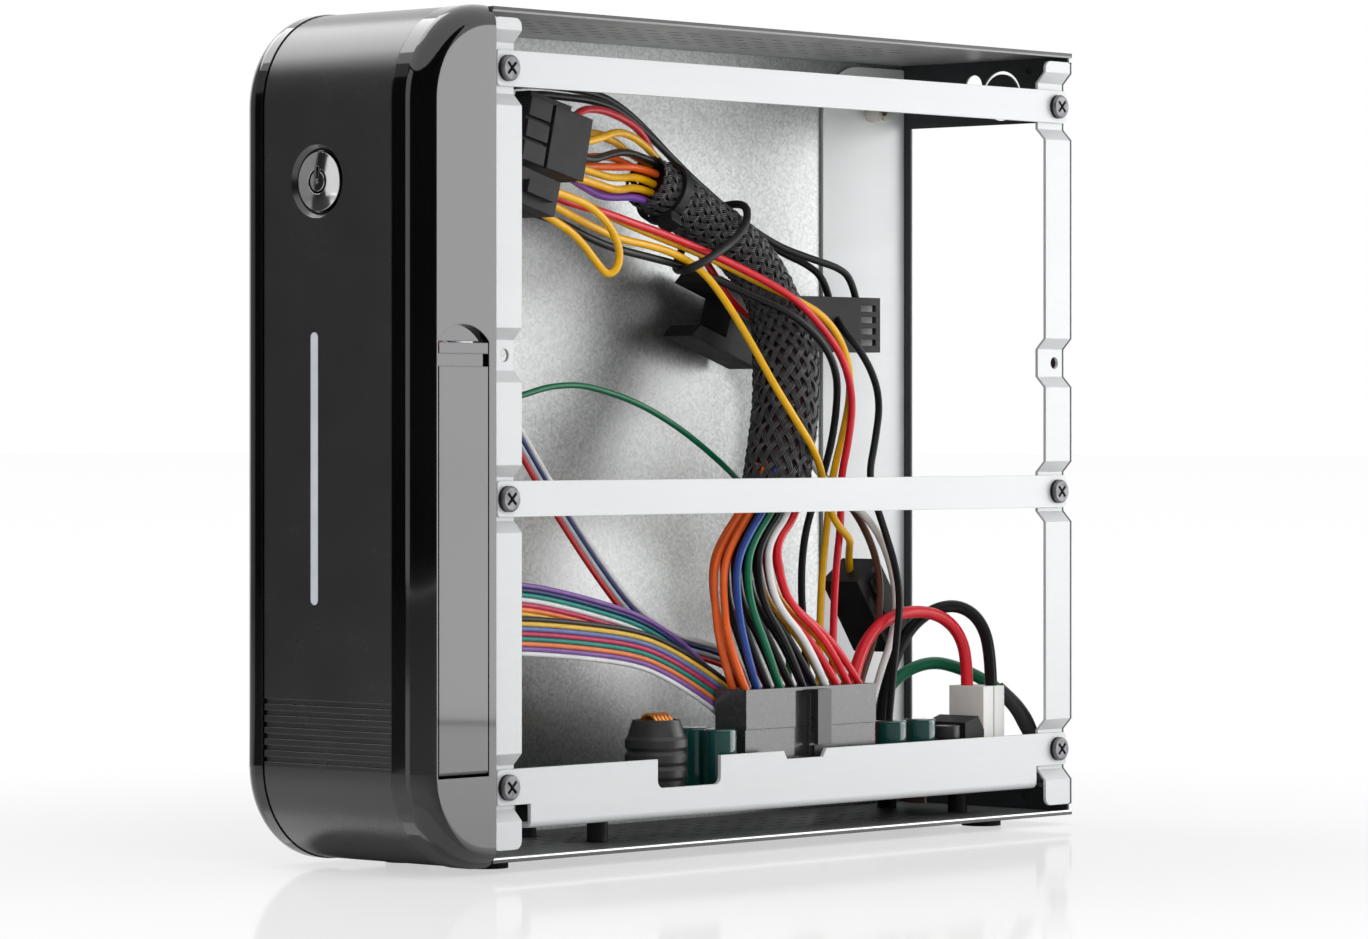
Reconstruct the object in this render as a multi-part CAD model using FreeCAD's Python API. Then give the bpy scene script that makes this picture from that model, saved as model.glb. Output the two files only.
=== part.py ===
import FreeCAD, Part
import math
import os

V = FreeCAD.Vector
os.makedirs("parts", exist_ok=True)

# Overall sizes in millimetres: X across with the open side at +X, Y front to back, Z up
bezel_width = 59.0
bezel_depth = 24.0
bezel_corner_r = 22.5
bezel_edge_r = 5.0
bezel_side_wall = 2.2
bezel_floor = 3.4
bezel_drop = 1.3
bezel_rise = 0.5
steel_depth = 211.3
steel_height = 194.2
sheet = 0.8
foot_height = 2.5
near_step = 1.0
far_step = 0.4

# Planes that follow from the overall sizes
x_side = bezel_width / 2
x_near = x_side - near_step
x_far = -x_side + far_step
x_shell = x_far + sheet
x_tray = x_shell + sheet
y_front = -(bezel_depth + steel_depth) / 2
y_steel = y_front + bezel_depth
y_rear = y_steel + steel_depth
y_back_wall = y_rear - sheet
z_steel = foot_height
z_top = z_steel + steel_height
z_bezel = z_steel - bezel_drop
z_crown = z_top + bezel_rise
z_floor = z_steel + sheet
z_roof = z_top - sheet


def block(x0, x1, y0, y1, z0, z1):
    return Part.makeBox(x1 - x0, y1 - y0, z1 - z0, V(x0, y0, z0))


def rod(r, base, axis, length):
    return Part.makeCylinder(r, length, base, axis)


def prism(points, sweep):
    return Part.Face(Part.makePolygon(points + points[:1])).extrude(sweep)


def rounded_plate(x0, x1, y0, y1, z0, z1, r):
    plate = block(x0, x1, y0, y1, z0, z1)
    corners = [e for e in plate.Edges if abs(e.tangentAt(e.FirstParameter).x) > 0.99]
    return plate.makeFillet(r, corners)


def group(shapes):
    return Part.makeCompound(shapes)


def save(node, shape):
    shape.exportStep("parts/" + node + ".step")


# Bezel frame: a hollow moulding, D-shaped from the side, with a recess round it for the fascia
fascia_x0 = -x_side + 7.5
fascia_x1 = x_side - 9.5
fascia_recess = 1.7
fascia_seat = 0.15
fascia_sink = 0.25
fascia_gap = 0.35


def d_solid(inset, x0, x1):
    y0 = y_front + inset
    z0 = z_bezel + inset
    z1 = z_crown - inset
    r = bezel_corner_r - inset
    k = r * (1 - math.sqrt(0.5))
    low = [V(x0, y0 + r, z0), V(x0, y0 + k, z0 + k), V(x0, y0, z0 + r)]
    high = [V(x0, y0, z1 - r), V(x0, y0 + k, z1 - k), V(x0, y0 + r, z1)]
    rear = [V(x0, y_steel, z1), V(x0, y_steel, z0)]
    edges = [
        Part.Arc(*low).toShape(),
        Part.makeLine(low[2], high[0]),
        Part.Arc(*high).toShape(),
        Part.makeLine(high[2], rear[0]),
        Part.makeLine(rear[0], rear[1]),
        Part.makeLine(rear[1], low[0]),
    ]
    return Part.Face(Part.Wire(edges)).extrude(V(x1 - x0, 0, 0))


button_x = -4.3
button_z = z_crown - 40.0
button_r = 6.75
button_gap = 0.35
button_hole_r = button_r + 0.65
button_dish = 1.25
bar_x = -5.2
bar_length = 62.0
bar_z1 = z_crown - 74.3
bar_z0 = bar_z1 - bar_length
bar_width = 2.4
bar_gap = 0.1
led_board_y = y_front + 11.5
led_board_t = 1.6
led_board_w = 17.0
led_x0 = button_x - 8.7
led_x1 = led_x0 + led_board_w
led_z0 = bar_z0 - 5.9
led_z1 = button_z + 12.8
port_board_x = x_side - 19.5
port_board_t = 1.6
port_board_y0 = y_front + 4.5
port_board_y1 = y_steel - 3.0
port_board_z0 = z_bezel + 26.8
port_board_h = 84.0
port_board_z1 = port_board_z0 + port_board_h
rib_t = 1.5

# The port door in the side of the bezel, its pocket and its hinge
door_y0 = y_front + 5.3
door_y1 = y_steel - 2.4
door_height = 98.2
door_z0 = z_bezel + 21.3
door_z1 = door_z0 + door_height
door_t = 2.0
door_gap = 0.35
hinge_x = x_side - door_t / 2
hinge_z = door_z0 + door_gap + door_t / 2
pin_r = 0.5
pin_fit = 0.04
pin_press = 0.02
pin_bury = 1.3
scoop_r = 10.6
scoop_rise = 3.8
scoop_depth = 1.6

frame = d_solid(0, -x_side, x_side)
rim = [e for e in frame.Edges
       if abs(abs(e.CenterOfMass.x) - x_side) < 0.001 and e.CenterOfMass.y < y_steel - 0.001]
frame = frame.makeFillet(bezel_edge_r, rim)
frame = frame.cut(d_solid(bezel_floor, -x_side + bezel_side_wall, x_side - bezel_side_wall))
frame = frame.cut(d_solid(0, fascia_x0, fascia_x1).cut(d_solid(fascia_recess, fascia_x0, fascia_x1)))
frame = frame.cut(rod(button_r + button_gap, V(button_x, y_front, button_z), V(0, 1, 0), bezel_floor + 1))
bar_half = bar_width / 2 + bar_gap
bar_slot = rounded_plate(y_front, y_front + 5, bar_x - bar_half, bar_x + bar_half,
                         bar_z0 - bar_gap, bar_z1 + bar_gap, bar_half * 0.99)
bar_slot.rotate(V(0, 0, 0), V(0, 0, 1), 90)
bar_slot = bar_slot.mirror(V(0, 0, 0), V(1, 0, 0))
frame = frame.cut(bar_slot)
frame = frame.cut(block(x_side - 3, x_side + 1, door_y0, door_y1, door_z0, door_z1))
scoop = rod(scoop_r, V(x_side - scoop_depth, (door_y0 + door_y1) / 2, door_z1 + scoop_rise - scoop_r),
            V(1, 0, 0), scoop_depth + 1)
frame = frame.cut(scoop.common(block(0, x_side + 1, door_y0, door_y1, door_z1 - 1, door_z1 + scoop_rise)))
frame = frame.cut(rod(pin_r + pin_press, V(hinge_x, door_y0 - pin_bury, hinge_z), V(0, 1, 0),
                      door_y1 - door_y0 + 2 * pin_bury))
for z in (port_board_z0 + 2, port_board_z1 - 5):
    frame = frame.fuse(block(port_board_x - rib_t, port_board_x, y_front + bezel_floor - 0.5,
                             port_board_y1, z, z + 3))
for x in (led_x0 + 2.5, led_x1 - 2.5):
    for z in (led_z0 + 3, led_z1 - 30):
        frame = frame.fuse(rod(2.0, V(x, y_front + bezel_floor - 0.5, z), V(0, 1, 0),
                               led_board_y - y_front - bezel_floor + 0.5))
save("bezel_frame", frame.removeSplitter())

# Fascia: a satin strip bent round the front, with ribbed lines near its foot
groove_z = 24.7
groove_pitch = 2.65
groove_width = 1.2
groove_depth = 0.6
fascia = d_solid(fascia_sink, fascia_x0 + fascia_gap, fascia_x1 - fascia_gap)
fascia = fascia.cut(d_solid(fascia_recess - fascia_seat, fascia_x0, fascia_x1))
for i in range(6):
    z = groove_z + i * groove_pitch
    fascia = fascia.cut(block(fascia_x0, fascia_x1, y_front, y_front + fascia_sink + groove_depth,
                              z, z + groove_width))
fascia = fascia.cut(rod(button_hole_r, V(button_x, y_front, button_z), V(0, 1, 0), bezel_floor))
fascia = fascia.cut(Part.makeCone(button_hole_r + button_dish, button_hole_r, button_dish,
                                  V(button_x, y_front, button_z), V(0, 1, 0)))
fascia = fascia.cut(bar_slot)
save("front_fascia", fascia)

# Power button: a domed disc with the power sign, held by a flange behind the frame
dome = 0.6
button_front = y_front + 0.3
button_back = y_front + 5.2
dome_r = (button_r ** 2 + dome ** 2) / (2 * dome)
half_r = button_r / 2
half_y = button_front + dome_r - math.sqrt(dome_r ** 2 - half_r ** 2)
outline = [(button_r, button_front + dome), (button_r, button_back - 1.5), (8.0, button_back - 1.5),
           (8.0, button_back), (1.5, button_back), (1.5, button_back + 1.3), (0, button_back + 1.3),
           (0, button_front)]
outline = [V(button_x + r, y, button_z) for r, y in outline]
edges = [Part.makeLine(a, b) for a, b in zip(outline, outline[1:])]
edges.append(Part.Arc(outline[-1], V(button_x + half_r, half_y, button_z), outline[0]).toShape())
button = Part.Face(Part.Wire(edges)).revolve(V(button_x, 0, button_z), V(0, 1, 0), 360)
sign = rod(2.9, V(button_x, button_front - 0.5, button_z), V(0, 1, 0), 1.0)
sign = sign.cut(rod(2.3, V(button_x, button_front - 0.5, button_z), V(0, 1, 0), 1.0))
sign = sign.cut(block(button_x - 1, button_x + 1, y_front - 1, button_front + 1, button_z, button_z + 4))
stroke = block(button_x - 0.3, button_x + 0.3, y_front - 1, button_front + 0.5, button_z + 0.4, button_z + 3.4)
save("power_button", button.cut(sign).cut(stroke))

# Switch behind the button, and the board that carries it and the light bar's lamps
switch = block(button_x - 3, button_x + 3, y_front + 8.5, led_board_y, button_z - 3, button_z + 3)
save("power_switch", switch.fuse(rod(1.5, V(button_x, y_front + 7.9, button_z), V(0, 1, 0), 0.8)))
led_board = block(led_x0, led_x1, led_board_y, led_board_y + led_board_t, led_z0, led_z1)
save("led_board", led_board)
light = rounded_plate(y_front + 0.3, led_board_y - 0.2, bar_x - bar_width / 2, bar_x + bar_width / 2,
                      bar_z0, bar_z1, bar_width * 0.49)
light.rotate(V(0, 0, 0), V(0, 0, 1), 90)
save("light_bar", light.mirror(V(0, 0, 0), V(1, 0, 0)))

# Port door: a flap hinged on a pin along its lower edge, with a grip groove near its top
door = block(x_side - door_t, x_side, door_y0 + door_gap, door_y1 - door_gap, hinge_z, door_z1 - door_gap)
door = door.fuse(rod(door_t / 2, V(hinge_x, door_y0 + door_gap, hinge_z), V(0, 1, 0),
                     door_y1 - door_y0 - 2 * door_gap))
door = door.cut(rod(pin_r + pin_fit, V(hinge_x, door_y0, hinge_z), V(0, 1, 0), door_y1 - door_y0))
door = door.cut(block(x_side - 1.0, x_side, door_y0, door_y1, door_z1 - 5.7, door_z1 - 2.8))
save("usb_door", door.removeSplitter())
save("door_hinge_pin", rod(pin_r, V(hinge_x, door_y0 - pin_bury, hinge_z), V(0, 1, 0),
                           door_y1 - door_y0 + 2 * pin_bury))

# Front port board with two sockets and two jacks behind the door
port_y = (door_y0 + door_y1) / 2
port_face = port_board_x + port_board_t
port_board = block(port_board_x, port_face, port_board_y0, port_board_y1, port_board_z0, port_board_z1)
save("front_io_board", port_board)
socket_end = x_side - door_t - 2.0
socket_w = 14.0
socket_h = 6.5
socket_wall = 0.65
sockets = []
for z in (port_board_z0 + 15, port_board_z0 + 35):
    can = block(port_face, socket_end, port_y - socket_h / 2, port_y + socket_h / 2,
                z - socket_w / 2, z + socket_w / 2)
    mouth = block(port_face + 1.5, socket_end + 1, port_y - socket_h / 2 + socket_wall,
                  port_y + socket_h / 2 - socket_wall, z - socket_w / 2 + socket_wall, z + socket_w / 2 - socket_wall)
    tongue = block(port_face + 1, socket_end - 1, port_y - 1.9, port_y - 0.1, z - 5.5, z + 5.5)
    sockets.append(can.cut(mouth).fuse(tongue))
save("usb_ports", group(sockets))
jack_length = socket_end - port_face - 1.4
jacks = []
for z in (port_board_z0 + 56, port_board_z0 + 71):
    jack = rod(3.2, V(port_face, port_y, z), V(1, 0, 0), jack_length)
    jacks.append(jack.cut(rod(1.8, V(port_face + 1.5, port_y, z), V(1, 0, 0), 12)))
save("audio_jacks", group(jacks))

# Steel ends: a wall with a near flange that is set back where a bar or the spare screw lies
joggle_depth = 2.6
joggle_slant = 2.7
joggles = [(z_steel + 16.9, 5.0), (z_steel + 82.5, 5.0), (z_steel + 115.2, 3.5), (z_top - 13.7, 5.85)]
flange_z0 = z_steel + 2.8
flange_z1 = z_top - 2.3
front_flange = 9.3
rear_flange = 10.7
screw_hole_r = 1.5
front_hole_y = y_steel + 6.2
rear_hole_y = y_rear - 4.0
spare_z = joggles[2][0]
bar_screws_z = (joggles[0][0], joggles[1][0], joggles[3][0])

edge = [(x_near, flange_z0)]
for centre, half in joggles:
    edge += [(x_near, centre - half - joggle_slant), (x_near - joggle_depth, centre - half),
             (x_near - joggle_depth, centre + half), (x_near, centre + half + joggle_slant)]
edge.append((x_near, flange_z1))


def end_panel(wall_y, flange_y, flange_w, hole_y):
    wall = [V(x, wall_y, z) for x, z in edge]
    wall += [V(x_near - sheet, wall_y, flange_z1), V(x_near - sheet, wall_y, z_roof), V(x_tray, wall_y, z_roof),
             V(x_tray, wall_y, z_floor), V(x_near - sheet, wall_y, z_floor), V(x_near - sheet, wall_y, flange_z0)]
    strip = [V(x, flange_y, z) for x, z in edge]
    strip += [V(x - sheet, flange_y, z) for x, z in reversed(edge)]
    flange = prism(strip, V(0, flange_w, 0))
    flange = flange.common(rounded_plate(0, x_near + 1, flange_y, flange_y + flange_w,
                                         flange_z0, flange_z1, 2.0))
    panel = prism(wall, V(0, sheet, 0)).fuse(flange)
    for z, _ in joggles:
        panel = panel.cut(rod(screw_hole_r, V(x_near - 6, hole_y, z), V(1, 0, 0), 8))
    return panel


front_tab = 20.0
cable_window = (-5.5, x_near - 6.5, z_steel + 40.0, z_top - 56.7)
front = end_panel(y_steel, y_steel, front_flange, front_hole_y)
front = front.fuse(block(x_tray, x_tray + sheet, y_steel, y_steel + front_tab, z_floor + 3, z_roof - 3))
front = front.cut(block(cable_window[0], cable_window[1], y_steel - 1, y_steel + 2,
                        cable_window[2], cable_window[3]))
save("chassis_front_plate", front.removeSplitter())

# Rear panel: the big window for the board's ports, an antenna hole, a knock-out, two dimples and a tab on the tray
port_window = (x_tray + 3.05, x_near - 8.5, z_steel + 18.15, z_top - 17.3)
antenna = (-3.2, z_top - 6.9, 2.75)
rear_tab_y0 = y_back_wall - 32.5
rear = end_panel(y_back_wall, y_rear - rear_flange, rear_flange, rear_hole_y)
tab = rounded_plate(x_tray, x_tray + sheet, rear_tab_y0, y_rear + 14, z_floor + 1, z_roof - 1, 14.0)
rear = rear.fuse(tab.common(block(x_tray, 0, rear_tab_y0, y_rear, z_floor, z_roof)))
rear = rear.cut(block(port_window[0], port_window[1], y_back_wall - 1, y_rear + 1,
                      port_window[2], port_window[3]))
rear = rear.cut(rod(antenna[2], V(antenna[0], y_rear - 2, antenna[1]), V(0, 1, 0), 3))
dimple = 0.5
for x, z, r in ((x_near - 13.4, z_top - 3.6, 1.2), (x_near - 14.3, z_steel + 4.0, 1.5)):
    rear = rear.cut(rod(r, V(x, y_back_wall - 1, z), V(0, 1, 0), 1 + dimple))
knock_x = 6.0
knock_z = z_top - 9.9
ring = rod(6.4, V(knock_x, y_rear - 2, knock_z), V(0, 1, 0), 3)
ring = ring.cut(rod(5.6, V(knock_x, y_rear - 2, knock_z), V(0, 1, 0), 3))
ring = ring.cut(block(-2, 14, y_rear - 3, y_rear + 2, knock_z - 0.6, knock_z + 0.6))
rear = rear.cut(ring)
lug_x = x_near - 7.9
lug_z = z_steel + 9.5
rear = rear.cut(rod(screw_hole_r, V(lug_x, y_rear - 2, lug_z), V(0, 1, 0), 3))
save("rear_panel", rear.removeSplitter())

# Tray: the plain galvanised sheet that the main board screws to
holes_rear_y = y_rear - 14.1
holes_front_y = holes_rear_y - 154.9
holes_inner_y = holes_front_y + 132.0
holes_high_z = z_top - 13.2
holes_low_z = z_steel + 23.5
standoffs = [(holes_rear_y, holes_high_z), (holes_front_y, holes_high_z),
             (holes_inner_y, holes_low_z), (holes_front_y, holes_low_z)]
standoff_r = 3.0
standoff_top = x_tray + 5.3
thread_r = 1.25
save("motherboard_tray", block(x_shell, x_tray, y_steel, y_rear, z_floor, z_roof))
posts = []
for y, z in standoffs:
    foot = x_tray + sheet if y > rear_tab_y0 else x_tray
    post = rod(standoff_r, V(foot, y, z), V(1, 0, 0), standoff_top - foot)
    posts.append(post.cut(rod(thread_r, V(foot + 0.5, y, z), V(1, 0, 0), 10)))
save("board_standoffs", group(posts))

# Outer shell: a black U of sheet with slotted top and bottom and a small lip on the open side
lip = 1.2
slot_length = 4.2
slot_width = 1.2
slot_pitch_x = 6.0
slot_pitch_y = 7.5
slot_rows = 5
slot_columns = 20
slot_x = x_near - 18.0
slot_y = y_steel + 27.5
shell = block(x_far, x_near, y_steel, y_rear, z_steel, z_top)
shell = shell.makeFillet(1.2, [e for e in shell.Edges if abs(e.CenterOfMass.x - x_far) < 0.001
                               and abs(e.tangentAt(e.FirstParameter).y) > 0.99])
shell = shell.cut(block(x_shell, x_near - sheet, y_steel, y_rear, z_floor, z_roof))
shell = shell.cut(block(x_near - 2, x_near + 1, y_steel, y_rear, z_steel + lip, z_top - lip))
cuts = []
for row in range(slot_rows):
    for column in range(slot_columns):
        x = slot_x - row * slot_pitch_x
        y = slot_y + column * slot_pitch_y
        for z in (z_steel, z_roof):
            cuts.append(block(x - slot_width / 2, x + slot_width / 2, y - slot_length / 2,
                              y + slot_length / 2, z - 0.5, z + sheet + 0.5))
for y in (y_steel + 45.0, y_rear - 42.6):
    for z in (z_steel, z_roof):
        cuts.append(block(x_near - 4.8, x_near - 3.2, y - 2.5, y + 2.5, z - 0.5, z + sheet + 0.5))
save("outer_shell", shell.cut(group(cuts)))

# Crossbars: three zinc strips screwed to the joggles, each with a lip folded inwards
bar_t = 1.0
bar_in = x_near - joggle_depth
bar_out = bar_in + bar_t
bar_y0 = y_steel + 3.0
bar_y1 = y_rear - 0.5
lip_y0 = y_steel + 13.9
lip_y1 = y_rear - 12.5
bar_lip = 6.0
bend_r = 1.6
bar_hole_r = 1.6
bar_height = 8.2

# The power board's place behind the bars, and the pieces on it that the low bar is notched for
board_clear = 1.4
board_length = 149.0
board_x0 = x_tray + 8.0
board_x1 = bar_in - board_clear
board_y1 = y_rear - 13.3
board_y0 = board_y1 - board_length
choke_y = board_y0 + 20.7
plug_y0 = board_y0 + 43.9


def crossbar(tab_z0, tab_z1, body_z0, body_z1, lip_high):
    tabs = rounded_plate(bar_in, bar_out, bar_y0, bar_y1, tab_z0, tab_z1, 1.0)
    body = block(bar_in, bar_out, lip_y0, lip_y1, body_z0, body_z1)
    edge_z = body_z1 if lip_high else body_z0
    fold_z = edge_z - bar_t if lip_high else edge_z
    fold = block(bar_out - bar_lip, bar_out, lip_y0, lip_y1, fold_z, fold_z + bar_t)
    body = body.fuse(fold).removeSplitter()
    corner = [e for e in body.Edges if abs(e.CenterOfMass.x - bar_out) < 0.001
              and abs(e.CenterOfMass.z - edge_z) < 0.001]
    return tabs.fuse(body.makeFillet(bend_r, corner)).removeSplitter()


def drill(bar, z):
    for y in (front_hole_y, rear_hole_y):
        bar = bar.cut(rod(bar_hole_r, V(bar_in - 1, y, z), V(1, 0, 0), 3))
    return bar


z = bar_screws_z[2]
save("top_crossbar", drill(crossbar(z - bar_height / 2, z + bar_height / 2,
                                    z - bar_height / 2, z + bar_height / 2, True), z))
z = bar_screws_z[1]
save("middle_crossbar", drill(crossbar(z - bar_height / 2, z + bar_height / 2,
                                       z - bar_height / 2, z + bar_height / 2, False), z))
z = bar_screws_z[0]
low_top = z + bar_height / 2
low = crossbar(z - bar_height / 2, low_top, z_steel + 7.2, low_top, False)
low = low.cut(rounded_plate(bar_in - 1, bar_out + 1, choke_y - 12.9, choke_y + 9.2, low_top - 6.8, low_top + 8, 1.8))
low = low.cut(prism([V(bar_in - 1, plug_y0 + 9.9, low_top - 2), V(bar_in - 1, plug_y0 + 23.1, low_top - 2),
                     V(bar_in - 1, plug_y0 + 25.0, low_top + 1), V(bar_in - 1, plug_y0 + 8.1, low_top + 1)],
                    V(4, 0, 0)))
save("bottom_crossbar", drill(low, z))


# Pan-head screws with a cross recess, six for the bars
def screw(base, axis, side, head_r, head_h, shank_r, length):
    up = axis.cross(side)
    body = rod(head_r, base, axis, head_h)
    top = [e for e in body.Edges if (e.CenterOfMass - base).dot(axis) > head_h - 0.01 and e.Length > 1]
    body = body.makeFillet(0.6, [e for e in top if e.Closed])
    body = body.fuse(rod(shank_r, base - axis * length, axis, length + 0.2))
    for a, b in ((side, up), (up, side)):
        corner = base + axis * (head_h - 0.9)
        arm = [corner + a * 1.9 + b * 0.35, corner - a * 1.9 + b * 0.35,
               corner - a * 1.9 - b * 0.35, corner + a * 1.9 - b * 0.35]
        body = body.cut(prism(arm, axis * 2))
    return body


head_r = 3.0
head_h = 1.6
shank_r = 1.45
screws = []
for y in (front_hole_y, rear_hole_y):
    for z in bar_screws_z:
        screws.append(screw(V(bar_out, y, z), V(1, 0, 0), V(0, 0.7071, 0.7071), head_r, head_h, shank_r, 4.5))
save("crossbar_screws", group(screws))

# Rubber feet stuck under the shell
foot_r = 5.0
foot_x = x_side - 16.5
feet = [rod(foot_r, V(x, y, 0), V(0, 0, 1), foot_height)
        for x in (-foot_x, foot_x) for y in (y_steel + 13.65, y_rear - 17.65)]
save("rubber_feet", group(feet))

# Power board on four spacers above the shell's floor, with an insulating strip under it
board_t = 1.6
board_z0 = z_floor + 9.6
board_z = board_z0 + board_t
power_board = block(board_x0, board_x1, board_y0, board_y1, board_z0, board_z)
save("power_board", power_board)
insulator_t = 0.8
flap_y = board_y1 - 35.0
insulator = block(board_x0 + 10, board_x1 - 1.5, board_y1 - 72, flap_y, board_z0 - insulator_t, board_z0)
flap_x = bar_out - bar_lip - 0.5
flap = block(flap_x - 6.5, flap_x, flap_y - insulator_t, flap_y, board_z0 - 5.5, board_z0)
insulator = insulator.fuse(flap)
save("board_insulator", insulator.removeSplitter())
spacer_r = 2.5
spacer_x = (board_x0 + 4.5, board_x1 - 16.0)
spacers = [rod(spacer_r, V(x, y, z_floor), V(0, 0, 1), board_z0 - z_floor)
           for x in spacer_x for y in (board_y0 + 6.65, board_y1 - 8.35)]
save("board_spacers", group(spacers))

# Choke: copper turns inside a ridged black shrink sleeve
choke = V(board_x1 - 10.0, choke_y, board_z)
choke_r = 8.1
choke_h = 19.2
well_r = 5.0
well_z = choke_h - 3.2
rim_z = choke_h - 1.8
ridge = choke_r - 0.6
waist = choke_r - 1.2
outline = [(0, 0), (waist, 0), (waist, 3.0)]
for z in (3.9, 7.4, 10.9):
    outline += [(ridge, z), (ridge, z + 1.7), (waist, z + 2.6)]
outline += [(well_r + 0.7, rim_z), (well_r, rim_z), (well_r, well_z), (0, well_z)]
corners = [choke + V(r, 0, z) for r, z in outline]
sleeve = Part.Face(Part.makePolygon(corners + corners[:1])).revolve(choke, V(0, 0, 1), 360)
save("choke_sleeve", sleeve)
turns = []
for i in range(5):
    turn = Part.makeTorus(2.6, 0.5, choke + V(0, (i - 2) * 1.3, well_z), V(0, 1, 0))
    turns.append(turn.common(block(choke.x - 10, choke.x + 10, choke_y - 10, choke_y + 10,
                                     choke.z + well_z, choke.z + choke_h + 5)))
save("choke_winding", group(turns))

# Capacitors, drum inductor
can_r = 4.0


def can(x, y, height):
    body = rod(can_r, V(x, y, board_z), V(0, 0, 1), height)
    ends = [e for e in body.Edges if e.Closed and abs(e.CenterOfMass.z - board_z - height) < 0.01]
    body = body.makeFillet(0.7, ends)
    for dx, dy in ((2.2, 0.2), (0.2, 2.2)):
        body = body.cut(block(x - dx, x + dx, y - dy, y + dy, board_z + height - 0.25, board_z + height + 1))
    return body


left_h = 14.7
right_h = 14.1
save("left_capacitors", group([can(board_x1 - 5, board_y0 + 37.8, left_h),
                               can(board_x1 - 14, board_y0 + 39.25, left_h)]))
save("right_capacitors", group([can(board_x1 - 6, board_y1 - 46.6, right_h),
                                can(board_x1 - 6, board_y1 - 35.3, right_h)]))
drum_foot = V(board_x1 - 4.5, board_y1 - 26.5, board_z)
drum_neck = drum_foot + V(0, 0, 2)
drum = rod(3.2, drum_foot, V(0, 0, 1), 12.0)
drum = drum.cut(rod(3.6, drum_neck, V(0, 0, 1), 7).cut(rod(2.6, drum_neck, V(0, 0, 1), 7)))
save("drum_inductor", drum)

# Main header and its plug, two rows of eleven ways with a latch on the near side
pins = 11
pitch = 4.2
plug_depth = 10.0
plug_x1 = board_x1 - 2.0
plug_x0 = plug_x1 - plug_depth
plug_y1 = plug_y0 + pins * pitch + 1.9
plug_z0 = board_z + 14.2
plug_z1 = plug_z0 + 9.6
row_x = (plug_x1 - 2.9, plug_x1 - 2.9 - pitch)
seam = 0.3
header = block(plug_x0, plug_x1 - seam, plug_y0, plug_y1, board_z, plug_z0)
latch_y = plug_y0 + 26.05
header = header.cut(block(plug_x1 - 1.5, plug_x1 + 1, latch_y - 8, latch_y - 2.6, board_z + 7.0, plug_z0))
save("main_header", header.fuse(block(plug_x1 - 2 * seam, plug_x1 + 1.2, latch_y - 2.4, latch_y + 2.4,
                                      plug_z0 - 7.2, plug_z0 - 4.7)).removeSplitter())
plug = block(plug_x0, plug_x1, plug_y0, plug_y1, plug_z0, plug_z1)
plug = plug.cut(block(plug_x1 - 1.5, plug_x1 + 1, latch_y - 8, latch_y - 2.6, plug_z0, plug_z1 - 0.8))
plug = plug.fuse(block(plug_x1, plug_x1 + 2.4, latch_y - 2.5, latch_y + 2.5, plug_z0 + 2.3, plug_z1 - 0.6))
plug = plug.fuse(block(plug_x1 + 1.2, plug_x1 + 2.4, latch_y - 2.5, latch_y + 2.5, plug_z0 - 4.4, plug_z0 + 2.8))
main_plug = plug.removeSplitter()
save("main_plug", main_plug)

# Inlet header and plug, and the ribbon socket behind the main plug
inlet_w = 12.5
inlet_x = board_x1 - 3.5 - inlet_w
inlet_y0 = board_y1 - 20.5
inlet_y1 = board_y1 - 3.5
inlet_z = board_z + 2.0
wall_y = inlet_y0 + 7.5
inlet = block(inlet_x, inlet_x + inlet_w, inlet_y0, inlet_y1, board_z, inlet_z)
wall = [(inlet_y0, 0.0), (wall_y, 0.0), (wall_y, 8.5), (inlet_y0 + 5.15, 12.0), (inlet_y0, 10.5)]
inlet = inlet.fuse(prism([V(inlet_x, y, inlet_z + z) for y, z in wall], V(inlet_w, 0, 0)))
save("inlet_header", inlet.removeSplitter())
inlet_top = inlet_z + 19.3
inlet_plug = block(inlet_x + 0.8, inlet_x + inlet_w - 0.5, wall_y + 0.4, inlet_y1 - 0.8, inlet_z, inlet_top)
inlet_plug = inlet_plug.cut(block(inlet_x + 10, inlet_x + inlet_w, wall_y + 4.25, wall_y + 4.85,
                                  board_z, inlet_top + 1))
save("inlet_plug", inlet_plug)
socket_gap = 0.5
socket_x1 = plug_x0 - socket_gap
socket_y0 = plug_y0 + 18.75
socket_top = board_z + 19.5
socket = block(socket_x1 - 12.0, socket_x1, socket_y0, socket_y0 + 18.0, board_z, socket_top)
save("ribbon_socket", socket)


# Loose plugs on the ends of the wires
plug_a_y = -53.65
plug_b_y = -65.15
slotted_y = 59.35
slotted_top = 134.5
fork_y = 47.35
fork_x = (-23.6, -13.6)
motherboard_plug = block(-6, 18.8, -74.65, plug_a_y, 158.5, 173.5)
motherboard_plug = motherboard_plug.cut(block(17.6, 19.8, -67.4, -66.3, 157.5, 174.5))
for z in (163.1, 168.1):
    motherboard_plug = motherboard_plug.cut(block(17.6, 19.8, -75.65, -67.4, z, z + 0.9))
motherboard_plug = motherboard_plug.fuse(block(11.5, 16.5, -73, -59, 173.5, 175.3)).removeSplitter()
motherboard_plug.rotate(V(0, plug_a_y, 159), V(1, 0, 0), -13)
save("motherboard_plug", motherboard_plug)
auxiliary_plug = block(6.5, 20.5, -78.65, plug_b_y, 149.9, 158.2)
auxiliary_plug = auxiliary_plug.fuse(block(20.5, 22.3, -77, -68, 152.5, 155.5)).removeSplitter()
auxiliary_plug.rotate(V(0, plug_b_y, 150.4), V(1, 0, 0), -15)
save("auxiliary_plug", auxiliary_plug)
fork_wire_z = 124.5
fork = block(fork_x[0], fork_x[1], fork_y - 14, fork_y, fork_wire_z - 9, fork_wire_z + 8.5)
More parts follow.
